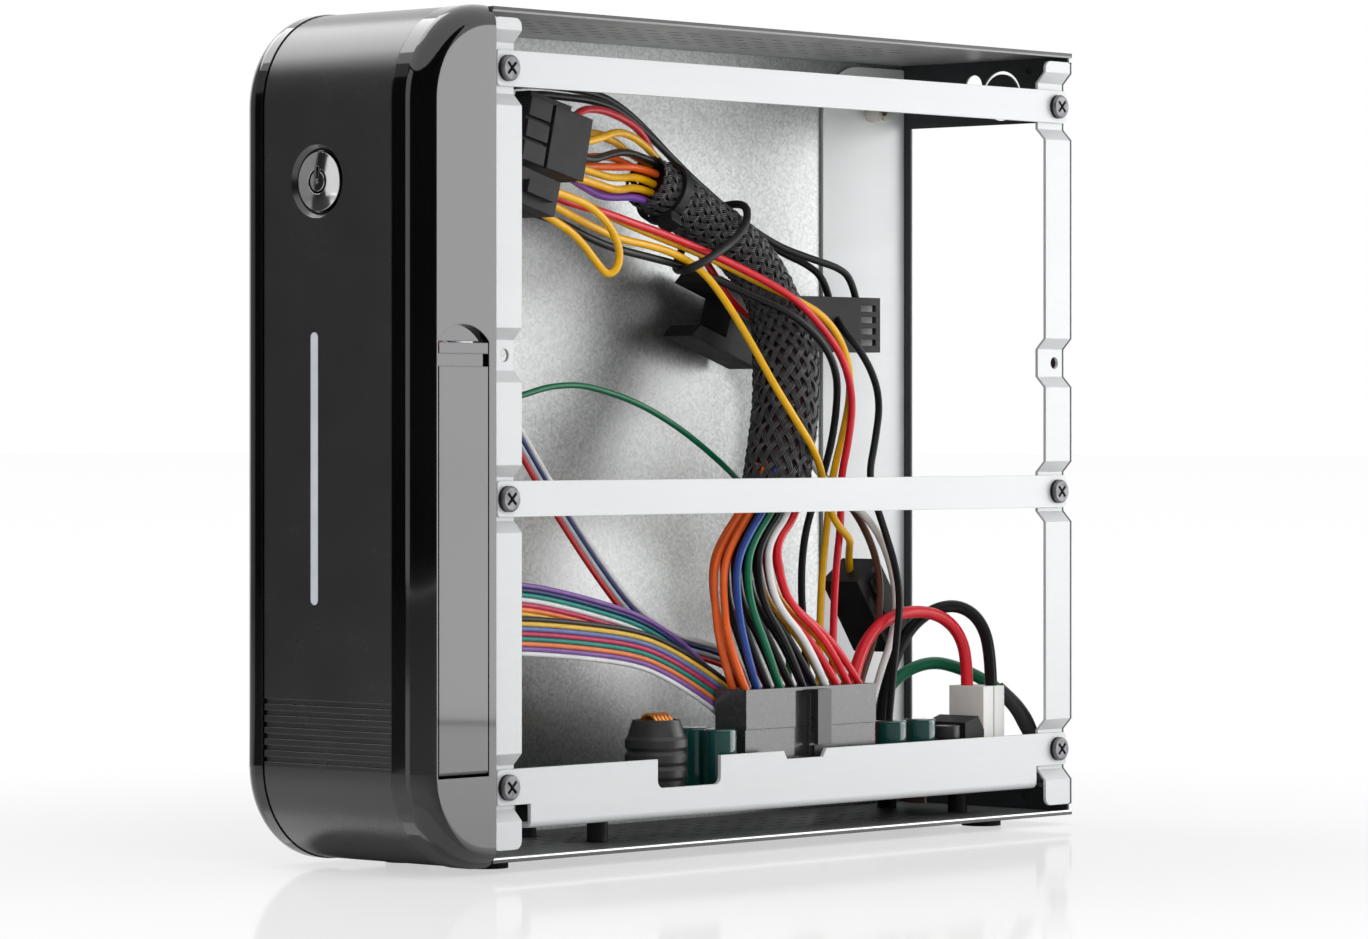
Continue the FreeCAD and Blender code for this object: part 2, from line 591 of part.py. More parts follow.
for z in (fork_wire_z - 9, fork_wire_z + 5):
    prong = [(fork_y - 13.5, z), (fork_y - 26, z), (fork_y - 24, z + 3.5), (fork_y - 13.5, z + 3.5)]
    fork = fork.fuse(prism([V(fork_x[0], y, h) for y, h in prong], V(fork_x[1] - fork_x[0], 0, 0)))
fork = fork.removeSplitter()
fork.rotate(V(0, fork_y, fork_wire_z), V(1, 0, 0), -18)
save("drive_plug", fork)
slotted = block(-19.5, -12.5, slotted_y, slotted_y + 31, 120.5, slotted_top)
for i in range(4):
    slotted = slotted.cut(block(-20, -12, slotted_y + 23.5, slotted_y + 29.2, 122.2 + 2.9 * i, 123.8 + 2.9 * i))
save("slotted_plug", slotted)
tilted = block(-6, 6, -5, 5, -11, 11)
for i in (-1, 1):
    tilted = tilted.cut(block(i * 3 - 2, i * 3 + 2, -3, 3, -12, -3))
tilted = tilted.fuse(block(6, 7.2, -2, 2, -8, 9)).removeSplitter()
tilted.rotate(V(0, 0, 0), V(1, 0, 0), 35)
tilted.translate(V(-7.5, 78.85, 56.1))
save("lower_plug", tilted)

# Ground lug on the rear panel, with its screw
lug_t = 0.8
lug_end = (lug_x - 0.6, y_back_wall - 4.85, lug_z + 10.5)
lug = rod(3.0, V(lug_x, y_back_wall - lug_t, lug_z), V(0, 1, 0), lug_t)
lug = lug.fuse(block(lug_x - 1.6, lug_x + 1.6, y_back_wall - lug_t, y_back_wall, lug_z, lug_z + 5))
lug = lug.cut(rod(screw_hole_r, V(lug_x, y_back_wall - 2, lug_z), V(0, 1, 0), 3))
barrel_foot = V(lug_x - 0.2, y_back_wall - 1.2, lug_z + 4.2)
barrel_axis = V(*lug_end) - barrel_foot
lug = lug.fuse(rod(1.7, barrel_foot, barrel_axis, barrel_axis.Length))
lug = lug.common(block(0, x_near, y_back_wall - 10, y_back_wall, 0, lug_z + 20)).removeSplitter()
save("ground_lug", lug)
save("ground_screw", screw(V(lug_x, y_back_wall - lug_t, lug_z), V(0, -1, 0), V(1, 0, 0), 2.6, 1.6, shank_r,
                           lug_t + sheet))


# Round leads: straight runs joined by tangent arcs, run into what they end on and cut flush with it
bury = 1.0
ribbon_t = 1.0


def turned(points):
    pts = [V(*p) for p in points]
    edges = []
    start = pts[0]
    radii = []
    for i in range(1, len(pts) - 1):
        a = pts[i - 1] - pts[i]
        b = pts[i + 1] - pts[i]
        turn = math.pi - a.getAngle(b)
        cut = 0.45 * min(a.Length, b.Length)
        radii.append(cut / math.tan(turn / 2))
        a.normalize()
        b.normalize()
        p = pts[i] + a * cut
        q = pts[i] + b * cut
        middle = a + b
        middle.normalize()
        reach = radii[-1] / math.cos(turn / 2) - radii[-1]
        edges.append(Part.makeLine(start, p))
        edges.append(Part.Arc(p, pts[i] + middle * reach, q).toShape())
        start = q
    edges.append(Part.makeLine(start, pts[-1]))
    return Part.Wire(edges), radii


def run_in(points):
    first = V(*points[0]) + (V(*points[0]) - V(*points[1])).normalize() * bury
    last = V(*points[-1]) + (V(*points[-1]) - V(*points[-2])).normalize() * bury
    return [tuple(first)] + points[1:-1] + [tuple(last)]


def trim(solid, seats):
    for seat in seats:
        if seat.BoundBox.intersect(solid.BoundBox):
            solid = solid.cut(seat)
    return max(solid.Solids, key=lambda piece: piece.Volume)


def swept(path, section, normal):
    pipe = Part.BRepOffsetAPI.MakePipeShell(path)
    if normal:
        pipe.setBiNormalMode(normal)
    pipe.add(section)
    pipe.build()
    pipe.makeSolid()
    return pipe.shape()


def lead(points, d, seats):
    if seats:
        points = run_in(points)
    path, radii = turned(points)
    axis = V(*points[1]) - V(*points[0])
    solid = swept(path, Part.Wire(Part.makeCircle(d / 2, V(*points[0]), axis)), None)
    print("lead d %.1f length %.0f least radius %.1f volume ratio %.3f"
          % (d, path.Length, min(radii), solid.Volume / path.Length / (math.pi * d * d / 4)))
    return trim(solid, seats)


def ribbon(points, x, width, lean, seats):
    points = run_in([(x, y, z) for y, z in points])
    path, radii = turned(points)
    x, y, z = points[0]
    t = ribbon_t / 2
    corners = [V(x - t, y, z - width / 2), V(x + t, y, z - width / 2),
               V(x + t, y, z + width / 2), V(x - t, y, z + width / 2)]
    solid = swept(path, Part.makePolygon(corners + corners[:1]), V(1, 0, 0))
    print("ribbon length %.0f least radius %.1f volume ratio %.3f"
          % (path.Length, min(radii), solid.Volume / path.Length / width / ribbon_t))
    solid.rotate(V(x, y + bury, 0), V(0, 0, 1), lean)
    return trim(solid, seats)


# Braided sleeve from the bunch of fan wires up to the loose plugs
sleeve_top = [(-3.5, -7.4, 160.7), (-3.5, 7.8, 154.1), (-3.5, 24.2, 146.8), (-2.5, 35.4, 136.6), (0.5, 38.0, 124.2)]
sleeve_low = [(0.5, 38.0, 124.2), (4.5, 34.6, 111.5), (8.0, 29.4, 100.7), (10.5, 24.0, 88.9)]
top_d = 13.5
low_d = 17.0
cable_sleeve = lead(sleeve_top, top_d, []).fuse(lead(sleeve_low, low_d, [])).removeSplitter()
save("cable_sleeve", cable_sleeve)
wire_d = 1.9


# A face of the sleeve's end: its centre, the way out and two directions across it
def sleeve_face(end, before):
    out = V(*end) - V(*before)
    out.normalize()
    side = V(1, 0, 0) - out * out.x
    side.normalize()
    across = out.cross(side)
    if across.y < 0:
        across = across * -1
    return V(*end), out, side, across


# Twenty-two wires fan out of the plug in two rows and gather in four layers at the sleeve's end
front_row = "orange blue black green black black black white red red red".split()
back_row = "orange orange black red black red black violet yellow yellow yellow".split()
fan_y = [(2.3, 44.3), (-3.0, 37.0), (-5.8, 21.2), (-6.8, 18.4), (-1.2, 20.2)]
fan_z = [plug_z1, 48.8, 58.2, 67.1, 73.7]
fan_front_x = [row_x[0], 19.0, 17.9, 16.5, 15.1]
fan_back_x = [row_x[1], 14.3, 12.6, 11.0, 9.7]
fan_stagger = [0.0, 0.8, 1.15, 1.2, 1.25]
layer = 2.6
wires = {}
end, out, side, across = sleeve_face(sleeve_low[-1], sleeve_low[-2])
for row, fan_x in ((front_row, fan_front_x), (back_row, fan_back_x)):
    near = row is front_row
    for k, colour in enumerate(row):
        odd = k % 2 == 1
        sign = 1 if odd == near else -1
        route = []
        for i in range(5):
            y = fan_y[i][0] + (fan_y[i][1] - fan_y[i][0]) * k / (pins - 1)
            route.append((fan_x[i] + sign * fan_stagger[i], y, fan_z[i]))
        depth = (1.5 if odd else 0.5) * (1 if near else -1)
        place = (k // 2) - (2.0 if odd else 2.5)
        p = end + side * (depth * layer) + across * (place * layer)
        q = p + out * 8
        route.append((q.x, q.y, q.z))
        route.append((p.x, p.y, p.z))
        wires.setdefault(colour, []).append(route)

# Wires of the loose plugs, by colour, from plug to plug, sleeve or board
wires["black"] += [
    [(18, plug_a_y, 164.7), (16.5, -48.5, 163.6), (11.5, -38.5, 165.4), (5, -25.5, 167.2), (-2.2, -13.5, 168.6),
     (-2.2, -5.6, 165.2)],
    [(-1.5, -68.5, 173.5), (-1.5, -65.5, 179.5), (-2.2, -54.5, 182.2), (-3.5, -41.5, 182.4), (-5.5, -29, 182),
     (-8.5, -17, 181), (-13.5, -3.5, 178), (-19, 11, 173), (-22.5, 23.5, 167), (-23.5, 34, 160.5),
     (-23.5, 48.5, 152.5), (-22, 61.5, 146), (-19.5, 70, 142.8), (-18, 75, 139), (-18, 76.5, slotted_top)],
    [(3.5, -65.5, 173.5), (3.3, -62, 178.6), (2, -51.5, 179.8), (0.5, -41, 179.6), (-1.5, -29.5, 179.5),
     (-4.5, -17, 178), (-10, -2.5, 174), (-16, 13, 169), (-18.5, 26, 162.5), (-19, 42, 154), (-17.5, 55, 147.3),
     (-15.5, 67, 144), (-14.5, 76.5, 142), (-14.5, 81.5, 139), (-14.5, 83, slotted_top)],
    [(11.5, plug_b_y, 151.5), (9.5, -51.5, 149.5), (8, -42, 146.5), (6.5, -31, 144), (4.5, -18, 142.5),
     (3, -2.5, 140.5), (4, 8.5, 137.5), (7.5, 18, 133.5), (11.5, 28, 129.5), (12.5, 38.5, 123), (9.5, 48, 115),
     (4, 54, 105.5), (2, 54, 96), (0.5, 51.5, 86.5), (-3.5, 50.5, 75.5), (-4, 49.5, 63), (-2.5, 49, 50.5),
     (-0.5, 48, 38.5), (1.2, 47, 26.5), (2.5, 46.5, board_z)],
    [(-12.5, 73.5, 128.5), (-9, 71.5, 126), (-7, 76, 121), (-6, 80.5, 114), (-5.5, 82, 107), (-4.5, 79, 98),
     (-2.5, 74, 89), (0.5, 73.5, 81.5), (4, 72.5, 75.5), (8.5, 71.5, 66.5), (10.5, 71, 58), (11, 69, 48.5),
     (11.5, 66.5, 36), (11, 65.5, 25), (11.5, 65, board_z)],
]
wires["orange"] += [
    [(15.5, plug_a_y, 162.3), (9.5, -39, 162.9), (3, -27, 163.4), (-2, -15.8, 166.8), (-2.2, -6.6, 162.8)],
    [(13, plug_a_y, 164.2), (7, -39.5, 165.2), (0, -25, 166.2), (-4.8, -15, 166.8), (-4.8, -6.6, 162.8)],
]
wires["yellow"] += [
    [(17.5, plug_a_y, 161.9), (12.5, -42.5, 161), (7, -30.5, 160.4), (-1.8, -16, 163.8), (-2.2, -7.5, 160.4)],
    [(17.5, plug_a_y, 159.3), (14, -43.5, 158.4), (9, -32, 157.4), (-1.8, -16.5, 161.3), (-2.2, -8.4, 158.2)],
    [(17.5, plug_a_y, 167.5), (15, -44, 169), (10.5, -33.5, 171.5), (3.5, -20, 171), (-4.5, -5.5, 168.5),
     (-11.5, 8, 164.5), (-12.5, 18, 157.5), (-12.8, 25, 149), (-11.8, 31, 141.5), (-11, 39, 135.5),
     (-12.5, 49.5, 132.3), (-16, slotted_y, 131.5)],
    [(15.5, plug_a_y, 169.5), (11, -41, 171), (5.5, -31, 169.8), (-1, -20.5, 169.4), (-4.8, -14, 169.3),
     (-4.8, -5.6, 165.2)],
    [(19.5, plug_b_y, 156), (18.5, -55, 154.5), (17.5, -47, 151.5), (16.5, -41, 147.5), (15.5, -37.5, 142.5),
     (15, -38, 138.5), (14, -40.5, 137), (13.5, -43.5, 140), (13.5, -49, 145), (14, -55.5, 148.5),
     (15, plug_b_y, 151.5)],
    [(17, plug_b_y, 154), (14.5, -53.5, 151), (10.5, -41.5, 148.5), (7.5, -29, 146), (5.5, -16.5, 145),
     (5, -6, 143), (6, 2.5, 139), (8.5, 8, 131.5), (13, 12, 121.5), (16.8, 15.5, 112), (18.5, 22.5, 102.5),
     (18.9, 29.5, 94.5), (15, 37, 85.5), (10, 46, 78), (6.4, 56.5, 72.5), (-2.5, 64.5, 74.5), (-7.5, 68.2, 71.3),
     (-7.5, 72.5, 65.1)],
    [(11.3, plug_b_y, 156.6), (11, -57, 156.4), (9.8, -47, 155), (8, -35, 153), (6, -24, 152),
     (4.5, -13, 150.2), (4, 0, 147.3), (4, 11, 144.3), (5, 22, 140), (7, 33, 135.5), (9.5, 43.5, 128.8),
     (8.5, 52.5, 120.5), (5, 58.5, 110.5), (2, 58.8, 99.5), (0, 57, 89), (-1.5, 57, 78.5), (-2, 55.5, 65.5),
     (-1.5, 54, 52.5), (-0.5, 52.5, 39.5), (0.2, 51.5, 26.5), (0.5, 51, board_z)],
]
wires["violet"] += [
    [(15, plug_a_y, 159.3), (11, -44, 157.2), (5.5, -32, 155.8), (-1.8, -17, 158.6), (-2.2, -9.3, 156)],
]
wires["red"] += [
    [(12.5, plug_a_y, 161), (6, -39.5, 158.4), (0, -26.5, 157.6), (-4.8, -15.5, 160), (-4.8, -8.9, 157.4)],
    [(13, plug_a_y, 172), (9.5, -45.5, 176), (4.5, -33.5, 177), (-0.5, -21, 176), (-6, -7.5, 173.5),
     (-13, 5, 168), (-17, 13, 160), (-16.5, 18.5, 150.5), (-12.8, 24, 142.5), (-11, 30, 133.5), (-10.8, 39, 128.3),
     (-11.8, 49.5, 126), (-15.5, slotted_y, 125.5)],
    [(15, plug_b_y, 156.5), (14, -57, 154.5), (12.5, -48, 153.2), (11.5, -38.5, 152), (9, -26.5, 150),
     (7, -14, 148), (6, -1, 145), (6, 10, 142), (8, 22, 137.5), (10, 32.5, 132.5), (10, 43, 125), (8.5, 52, 117.5),
     (6.5, 57.5, 108), (5, 57.5, 98), (3.5, 56, 88), (2.5, 57.5, 78), (2, 56, 65.5), (2.5, 54.5, 52.5),
     (3.5, 53, 39.5), (4.3, 52, 26.5), (4.5, 51.5, board_z)],
]
wires["white"] += [
    [(-15.5, fork_y, fork_wire_z), (-16.2, 52.5, 121.5), (-17.5, 59.5, 116), (-17.5, 63, 107.5), (-15.5, 63, 98),
     (-12.5, 66, 89.5), (-8, 71, 83.5), (-1.5, 74, 77.5), (3, 75.3, 69), (4.5, 76.8, 58.5), (4.5, 75.2, 48.5),
     (4.2, 70, 38.5), (4, 66, 27), (4, 65, board_z)],
]
wires["brown"] = [
    [(-19, fork_y, fork_wire_z), (-20.2, 54, 121.5), (-21.5, 64, 116.5), (-21.5, 68, 108), (-19.5, 68, 98),
     (-16.5, 70.5, 90.5), (-12.5, 74.5, 84.5), (-6, 75, 78), (0, 74.5, 68), (1.2, 74.5, 57.5), (1.2, 72, 48),
     (1, 67, 38), (1, 63, 27), (1, 62, board_z)],
]
seats = [main_plug, motherboard_plug, auxiliary_plug, fork, slotted, tilted, power_board, cable_sleeve]
for colour, routes in wires.items():
    save("wires_" + colour, group([lead(route, wire_d, seats) for route in routes]))

# Thick inlet leads, the ground lead with its lug, and the thin green lead from the lamp board
thick_d = 3.2
save("inlet_lead_red", lead([(7.5, 54.6, board_z), (7.5, 54.3, 21), (7.2, 54.6, 28.5), (7, 56, 36), (6.5, 59.5, 43.5),
                             (6.5, 63.5, 49), (6.5, 69.5, 52.8), (7.5, 76, 54.7), (8.5, 83.5, 54.7), (9.5, 90, 52.8),
                             (10.8, 94.2, 48.6), (12.2, 95.2, 42.5), (13, 94.35, inlet_top)], thick_d,
                            [power_board, inlet_plug]))
save("inlet_lead_black", lead([(0.5, 74.5, board_z), (0.5, 74.7, 22), (0.6, 75.5, 30), (1, 77.5, 38), (2, 80.5, 45.5),
                               (3.5, 84.5, 51.5), (6.5, 90, 55.5), (10, 95.2, 56), (14, 98.3, 52.5),
                               (17, 98.8, 45), (18, 97.85, inlet_top)], thick_d,
                              [power_board, inlet_plug]))
save("ground_lead", lead([(-5.5, 76, board_z), (-5.3, 76.3, 22), (-4.8, 79, 30), (-3.5, 84.5, 36.5), (-2, 90.5, 40),
                          (0, 97, 41.3), (3, 102, 40), (7, 106, 37.5), (12, 109, 34), (16.6, 111, 28.8),
                          lug_end], thick_d, [power_board, lug]))
save("green_lead", lead([(-0.5, led_board_y + led_board_t, 102.5), (-0.7, -87.5, 103.3), (-0.3, -70, 105.5),
                         (-0.5, -53.5, 109), (-0.5, -45, 111), (-0.5, -35, 111.5), (-0.5, -25.5, 110),
                         (-1, -13, 107), (-1.5, 0, 102), (-2, 12, 96), (-3, 25, 88.5), (-4, 35.5, 80.5),
                         (-7, 44.5, 70), (-7.7, 47.8, 60), (-7.3, 48.5, 49), (-6.5, 48, 37.5), (-6, 47.5, 26),
                         (-6, 47, board_z)], 1.5, [led_board, power_board]))

# Three ribbon cables from the front boards to the ribbon socket
board_edge = port_board_x + port_board_t / 2
save("ribbon_wide", ribbon([(port_board_y1, 53.2), (-80, 53.1), (-66, 52.9), (-46, 51.3), (-26.4, 48.9),
                            (-14.8, 45.1), (-3, 39.7), (7, 34.2), (13, 30.2), (socket_y0, 28.8)],
                           board_edge, 9.3, 0, [port_board, socket]))
save("ribbon_middle", ribbon([(port_board_y1, 61.8), (-80, 61.9), (-64.7, 61.4), (-51.4, 59.4), (-35.8, 56.2),
                              (-23.4, 53.2), (-12, 48.5), (-1, 41.8), (9, 33.5), (socket_y0, 28.8)],
                             board_edge, 7.9, 2.2, [port_board, socket]))
save("ribbon_narrow", ribbon([(led_board_y + led_board_t, 126), (-92, 126), (-78, 119.5), (-66, 108.3),
                              (-57, 97.4), (-50, 88.8), (-41.3, 78.9), (-30.2, 67.1), (-19.4, 57), (-9.8, 51.7),
                              (0, 48.2), (11, 46), (20, 42.5), (22.5, socket_top)],
                             2.0, 5.0, 0, [led_board, socket]))

# Ties: a flat strap with a square head at the sleeve's top end, and a round one lower down
tie_at, tie_out, tie_side, tie_up = sleeve_face(sleeve_top[0], sleeve_top[1])
strap_r = top_d / 2 + 1.2
head_half = 2.2
head_out = 2.4
strap = rod(strap_r, tie_at - tie_out * 8, tie_out, 3.0)
strap = strap.cut(rod(top_d / 2 + 0.05, tie_at - tie_out * 9, tie_out, 5.0))
head_way = tie_side * 0.5 - tie_up * 0.866
head_across = tie_side * 0.866 + tie_up * 0.5
head = [tie_at - tie_out * 8.6 + head_way * (strap_r + a) + head_across * b
        for a, b in ((-0.6, -head_half), (head_out, -head_half), (head_out, head_half), (-0.6, head_half))]
strap = strap.fuse(Part.Face(Part.makePolygon(head + head[:1])).extrude(tie_out * 4.2))
loop_axis = V(*sleeve_top[2]) - V(*sleeve_top[1])
loop_at = V(*sleeve_top[2]) - loop_axis * 0.3
loop = Part.makeTorus(top_d / 2 + 1.15, 1.0, loop_at, loop_axis)
save("cable_ties", group([strap, loop]))
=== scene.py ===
import math
import bmesh
import bpy
from mathutils import Matrix, Vector


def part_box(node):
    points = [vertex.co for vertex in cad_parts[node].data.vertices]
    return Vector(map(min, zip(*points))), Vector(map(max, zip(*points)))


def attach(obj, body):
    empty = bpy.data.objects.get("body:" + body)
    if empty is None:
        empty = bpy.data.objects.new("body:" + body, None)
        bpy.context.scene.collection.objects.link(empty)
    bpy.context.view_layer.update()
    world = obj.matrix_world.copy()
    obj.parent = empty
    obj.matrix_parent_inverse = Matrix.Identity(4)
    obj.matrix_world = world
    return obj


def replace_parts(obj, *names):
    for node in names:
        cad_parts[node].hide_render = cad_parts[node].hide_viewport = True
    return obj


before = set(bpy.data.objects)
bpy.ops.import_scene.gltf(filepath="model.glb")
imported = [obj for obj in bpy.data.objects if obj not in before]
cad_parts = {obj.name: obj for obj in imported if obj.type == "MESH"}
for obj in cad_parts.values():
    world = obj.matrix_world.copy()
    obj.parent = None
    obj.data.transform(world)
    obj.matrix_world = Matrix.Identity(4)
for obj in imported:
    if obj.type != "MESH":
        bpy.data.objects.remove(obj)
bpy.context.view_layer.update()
scene = bpy.context.scene
scene.view_settings.view_transform = "Standard"


# Studio: a polished pale floor that runs out to white, and softboxes behind at the right, at the upper left,
# overhead and in front. Dark and grey screens and floor cloths, which only mirrors see, give the glossy front
# its dark reflections. None of it is the object.
def wire_up(tree, *pairs):
    for source, target in pairs:
        tree.links.new(source, target)


def reckon(tree, operation, a, b):
    node = tree.nodes.new("ShaderNodeMath")
    node.operation = operation
    for socket, value in zip(node.inputs, (a, b)):
        if isinstance(value, (int, float)):
            socket.default_value = value
        else:
            tree.links.new(value, socket)
    return node.outputs[0]


def seen_rays(tree):
    path = tree.nodes.new("ShaderNodeLightPath")
    mirrored = reckon(tree, "MAXIMUM", path.outputs["Is Glossy Ray"], path.outputs["Is Transmission Ray"])
    return reckon(tree, "MAXIMUM", path.outputs["Is Camera Ray"], mirrored)


world = bpy.data.worlds.new("studio")
scene.world = world
world.use_nodes = True
tree = world.node_tree
ambient = tree.nodes["Background"]
ambient.inputs["Color"].default_value = (1, 1, 1, 1)
level = tree.nodes.new("ShaderNodeMapRange")
level.inputs["To Min"].default_value = 0.42
level.inputs["To Max"].default_value = 1.0
wire_up(tree, (seen_rays(tree), level.inputs["Value"]), (level.outputs[0], ambient.inputs["Strength"]))


def stage_piece(name, bm, material):
    mesh = bpy.data.meshes.new(name)
    bm.to_mesh(mesh)
    bm.free()
    mesh.materials.append(material)
    piece = bpy.data.objects.new(name, mesh)
    scene.collection.objects.link(piece)
    return piece


paper = bpy.data.materials.new("pale_floor")
paper.use_nodes = True
tree = paper.node_tree
tree.nodes.remove(tree.nodes["Principled BSDF"])
matt = tree.nodes.new("ShaderNodeBsdfDiffuse")
matt.inputs["Color"].default_value = (0.88, 0.88, 0.88, 1)
sheen = tree.nodes.new("ShaderNodeBsdfGlossy")
sheen.inputs["Color"].default_value = (1, 1, 1, 1)
sheen.inputs["Roughness"].default_value = 0.07
glow = tree.nodes.new("ShaderNodeEmission")
glow.inputs["Strength"].default_value = 1.0
spot = tree.nodes.new("ShaderNodeTexCoord")
reach = tree.nodes.new("ShaderNodeVectorMath")
reach.operation = "LENGTH"
wire_up(tree, (spot.outputs["Object"], reach.inputs[0]))


def faded(tree, distance, first, last, least):
    fade = tree.nodes.new("ShaderNodeMapRange")
    fade.interpolation_type = "SMOOTHSTEP"
    fade.inputs["From Min"].default_value = first
    fade.inputs["From Max"].default_value = last
    fade.inputs["To Min"].default_value = least
    wire_up(tree, (distance, fade.inputs["Value"]))
    return fade.outputs[0]


distance = reach.outputs["Value"]
path = tree.nodes.new("ShaderNodeLightPath")
mirrored = path.outputs["Is Glossy Ray"]
least_polish = 0.16
graze = tree.nodes.new("ShaderNodeFresnel")
graze.inputs["IOR"].default_value = 1.45
seen_white = reckon(tree, "MULTIPLY", path.outputs["Is Camera Ray"], faded(tree, distance, 0.12, 0.36, 0.66))
mirrored_white = reckon(tree, "MULTIPLY", mirrored, faded(tree, distance, 0.25, 0.6, 0.0))
grazed = reckon(tree, "MULTIPLY", mirrored, graze.outputs[0])
lift = tree.nodes.new("ShaderNodeMixShader")
polish = tree.nodes.new("ShaderNodeMixShader")
wire_up(tree, (reckon(tree, "MAXIMUM", seen_white, mirrored_white), lift.inputs["Fac"]),
        (reckon(tree, "MAXIMUM", grazed, least_polish), polish.inputs["Fac"]),
        (matt.outputs[0], lift.inputs[1]), (glow.outputs[0], lift.inputs[2]),
        (lift.outputs[0], polish.inputs[1]), (sheen.outputs[0], polish.inputs[2]),
        (polish.outputs[0], tree.nodes["Material Output"].inputs["Surface"]))
bm = bmesh.new()
floor_size = 15
bmesh.ops.create_grid(bm, x_segments=1, y_segments=1, size=floor_size)
stage_piece("floor", bm, paper)


def screen(name, grey, first, last, foot, head):
    felt = bpy.data.materials.new(name)
    felt.use_nodes = True
    shader = felt.node_tree.nodes["Principled BSDF"]
    shader.inputs["Base Color"].default_value = (grey, grey, grey, 1)
    shader.inputs["Roughness"].default_value = 1.0
    turn = Matrix.Rotation(math.radians(first), 3, "Z")
    bm = bmesh.new()
    bm.edges.new([bm.verts.new(turn @ Vector((r, 0, z))) for r, z in (foot, head)])
    bmesh.ops.spin(bm, geom=bm.verts[:] + bm.edges[:], cent=(0, 0, 0), axis=(0, 0, 1),
                   angle=math.radians(last - first), steps=48)
    piece = stage_piece(name, bm, felt)
    piece.visible_camera = False
    piece.visible_diffuse = False
    piece.visible_shadow = False


cloth_start = (0.3, 0.002)
screen_foot = (2.2, 0.002)
screen_head = (2.2, 1.5)
screen("dark_screen", 0.012, -137, 33, screen_foot, screen_head)
screen("grey_screen", 0.5, -178, -137, screen_foot, screen_head)
screen("dark_cloth", 0.012, -139, -122, cloth_start, screen_foot)
screen("grey_cloth", 0.4, -180, -139, cloth_start, screen_foot)


def softbox(name, size, place, target, radiance, mirrored=True):
    light = bpy.data.lights.new(name, "AREA")
    light.shape = "RECTANGLE"
    light.size, light.size_y = size
    light.energy = radiance * math.pi * size[0] * size[1]
    box = bpy.data.objects.new(name, light)
    box.location = place
    box.rotation_euler = (Vector(target) - Vector(place)).to_track_quat("-Z", "Y").to_euler()
    box.visible_camera = False
    box.visible_glossy = mirrored
    scene.collection.objects.link(box)


softbox("right_softbox", (0.526, 0.3), (0.349, 0.426, 0.151), (0.03, -0.105, 0.151), 2.25)
softbox("left_softbox", (0.9, 0.8), (-0.85, -0.1, 1.1), (0, -0.05, 0.15), 2.2)
softbox("overhead_softbox", (0.9, 0.9), (0.35, -0.1, 1.2), (0, 0, 0.1), 0.9, mirrored=False)
softbox("front_strip", (0.54, 0.9), (-0.592, -1.269, 0.46), (-0.02, -0.1, 0.12), 0.8)
softbox("front_fill", (0.8, 0.8), (0.9, -0.45, 0.5), (0, 0, 0.1), 1.9, mirrored=False)

lens = bpy.data.cameras.new("camera")
lens.sensor_width = 36
lens.lens = 141.85
lens.shift_y = -0.0305
camera = bpy.data.objects.new("camera", lens)
camera.location = (0.8814, -0.96685, 0.1012)
camera.rotation_euler = (math.radians(90), 0, math.radians(42.30))
scene.collection.objects.link(camera)
scene.camera = camera


# Outer shell: the black steel wrapper, bent from one slotted sheet and powder coated satin with a fine grain.
# Its hem along the open side is painted grey as a painted highlight and bright along the bottom, with a thin band
# at the outer edge left black as painted shade.
def effect_group(name, inputs, outputs):
    group = bpy.data.node_groups.new(name, "ShaderNodeTree")
    for label, kind, value in inputs:
        socket = group.interface.new_socket(name=label, in_out="INPUT", socket_type=kind)
        socket.default_value = value
    for label, kind in outputs:
        group.interface.new_socket(name=label, in_out="OUTPUT", socket_type=kind)
    return group, group.nodes.new("NodeGroupInput"), group.nodes.new("NodeGroupOutput")


FLOAT = "NodeSocketFloat"
COLOUR = "NodeSocketColor"
GREY = (0.5, 0.5, 0.5, 1)
finish_inputs = [("Colour", COLOUR, GREY), ("Marked Colour", COLOUR, GREY), ("Scale", FLOAT, 100.0),
                 ("Low Roughness", FLOAT, 0.3), ("High Roughness", FLOAT, 0.5)]
finish_outputs = [("Colour", COLOUR), ("Roughness", FLOAT), ("Height", FLOAT)]


def finish_ends(group, start, end, mask, height):
    tint = group.nodes.new("ShaderNodeMix")
    tint.data_type = "RGBA"
    rough = group.nodes.new("ShaderNodeMapRange")
    wire_up(group, (mask, tint.inputs["Factor"]), (start.outputs["Colour"], tint.inputs["A"]),
            (start.outputs["Marked Colour"], tint.inputs["B"]), (tint.outputs["Result"], end.inputs["Colour"]),
            (mask, rough.inputs["Value"]), (start.outputs["Low Roughness"], rough.inputs["To Min"]),
            (start.outputs["High Roughness"], rough.inputs["To Max"]),
            (rough.outputs[0], end.inputs["Roughness"]), (height, end.inputs["Height"]))


def noise(group, detail, roughness=0.5):
    node = group.nodes.new("ShaderNodeTexNoise")
    node.inputs["Detail"].default_value = detail
    node.inputs["Roughness"].default_value = roughness
    return node


def spread_over(group, low, high):
    spread = group.nodes.new("ShaderNodeMapRange")
    spread.inputs["From Min"].default_value = low
    spread.inputs["From Max"].default_value = high
    return spread


# Soft cloudy marks with a fine grain in the height, for coats, mouldings and rubber
marks, start, end = effect_group("surface_marks", finish_inputs, finish_outputs)
place = marks.nodes.new("ShaderNodeTexCoord")
grains_per_cloud = 14
cloud = noise(marks, 5)
grain = noise(marks, 2)
spread = spread_over(marks, 0.3, 0.7)
wire_up(marks, (place.outputs["Object"], cloud.inputs["Vector"]), (start.outputs["Scale"], cloud.inputs["Scale"]),
        (place.outputs["Object"], grain.inputs["Vector"]),
        (reckon(marks, "MULTIPLY", start.outputs["Scale"], grains_per_cloud), grain.inputs["Scale"]),
        (cloud.outputs["Fac"], spread.inputs["Value"]))
finish_ends(marks, start, end, spread.outputs[0], grain.outputs["Fac"])


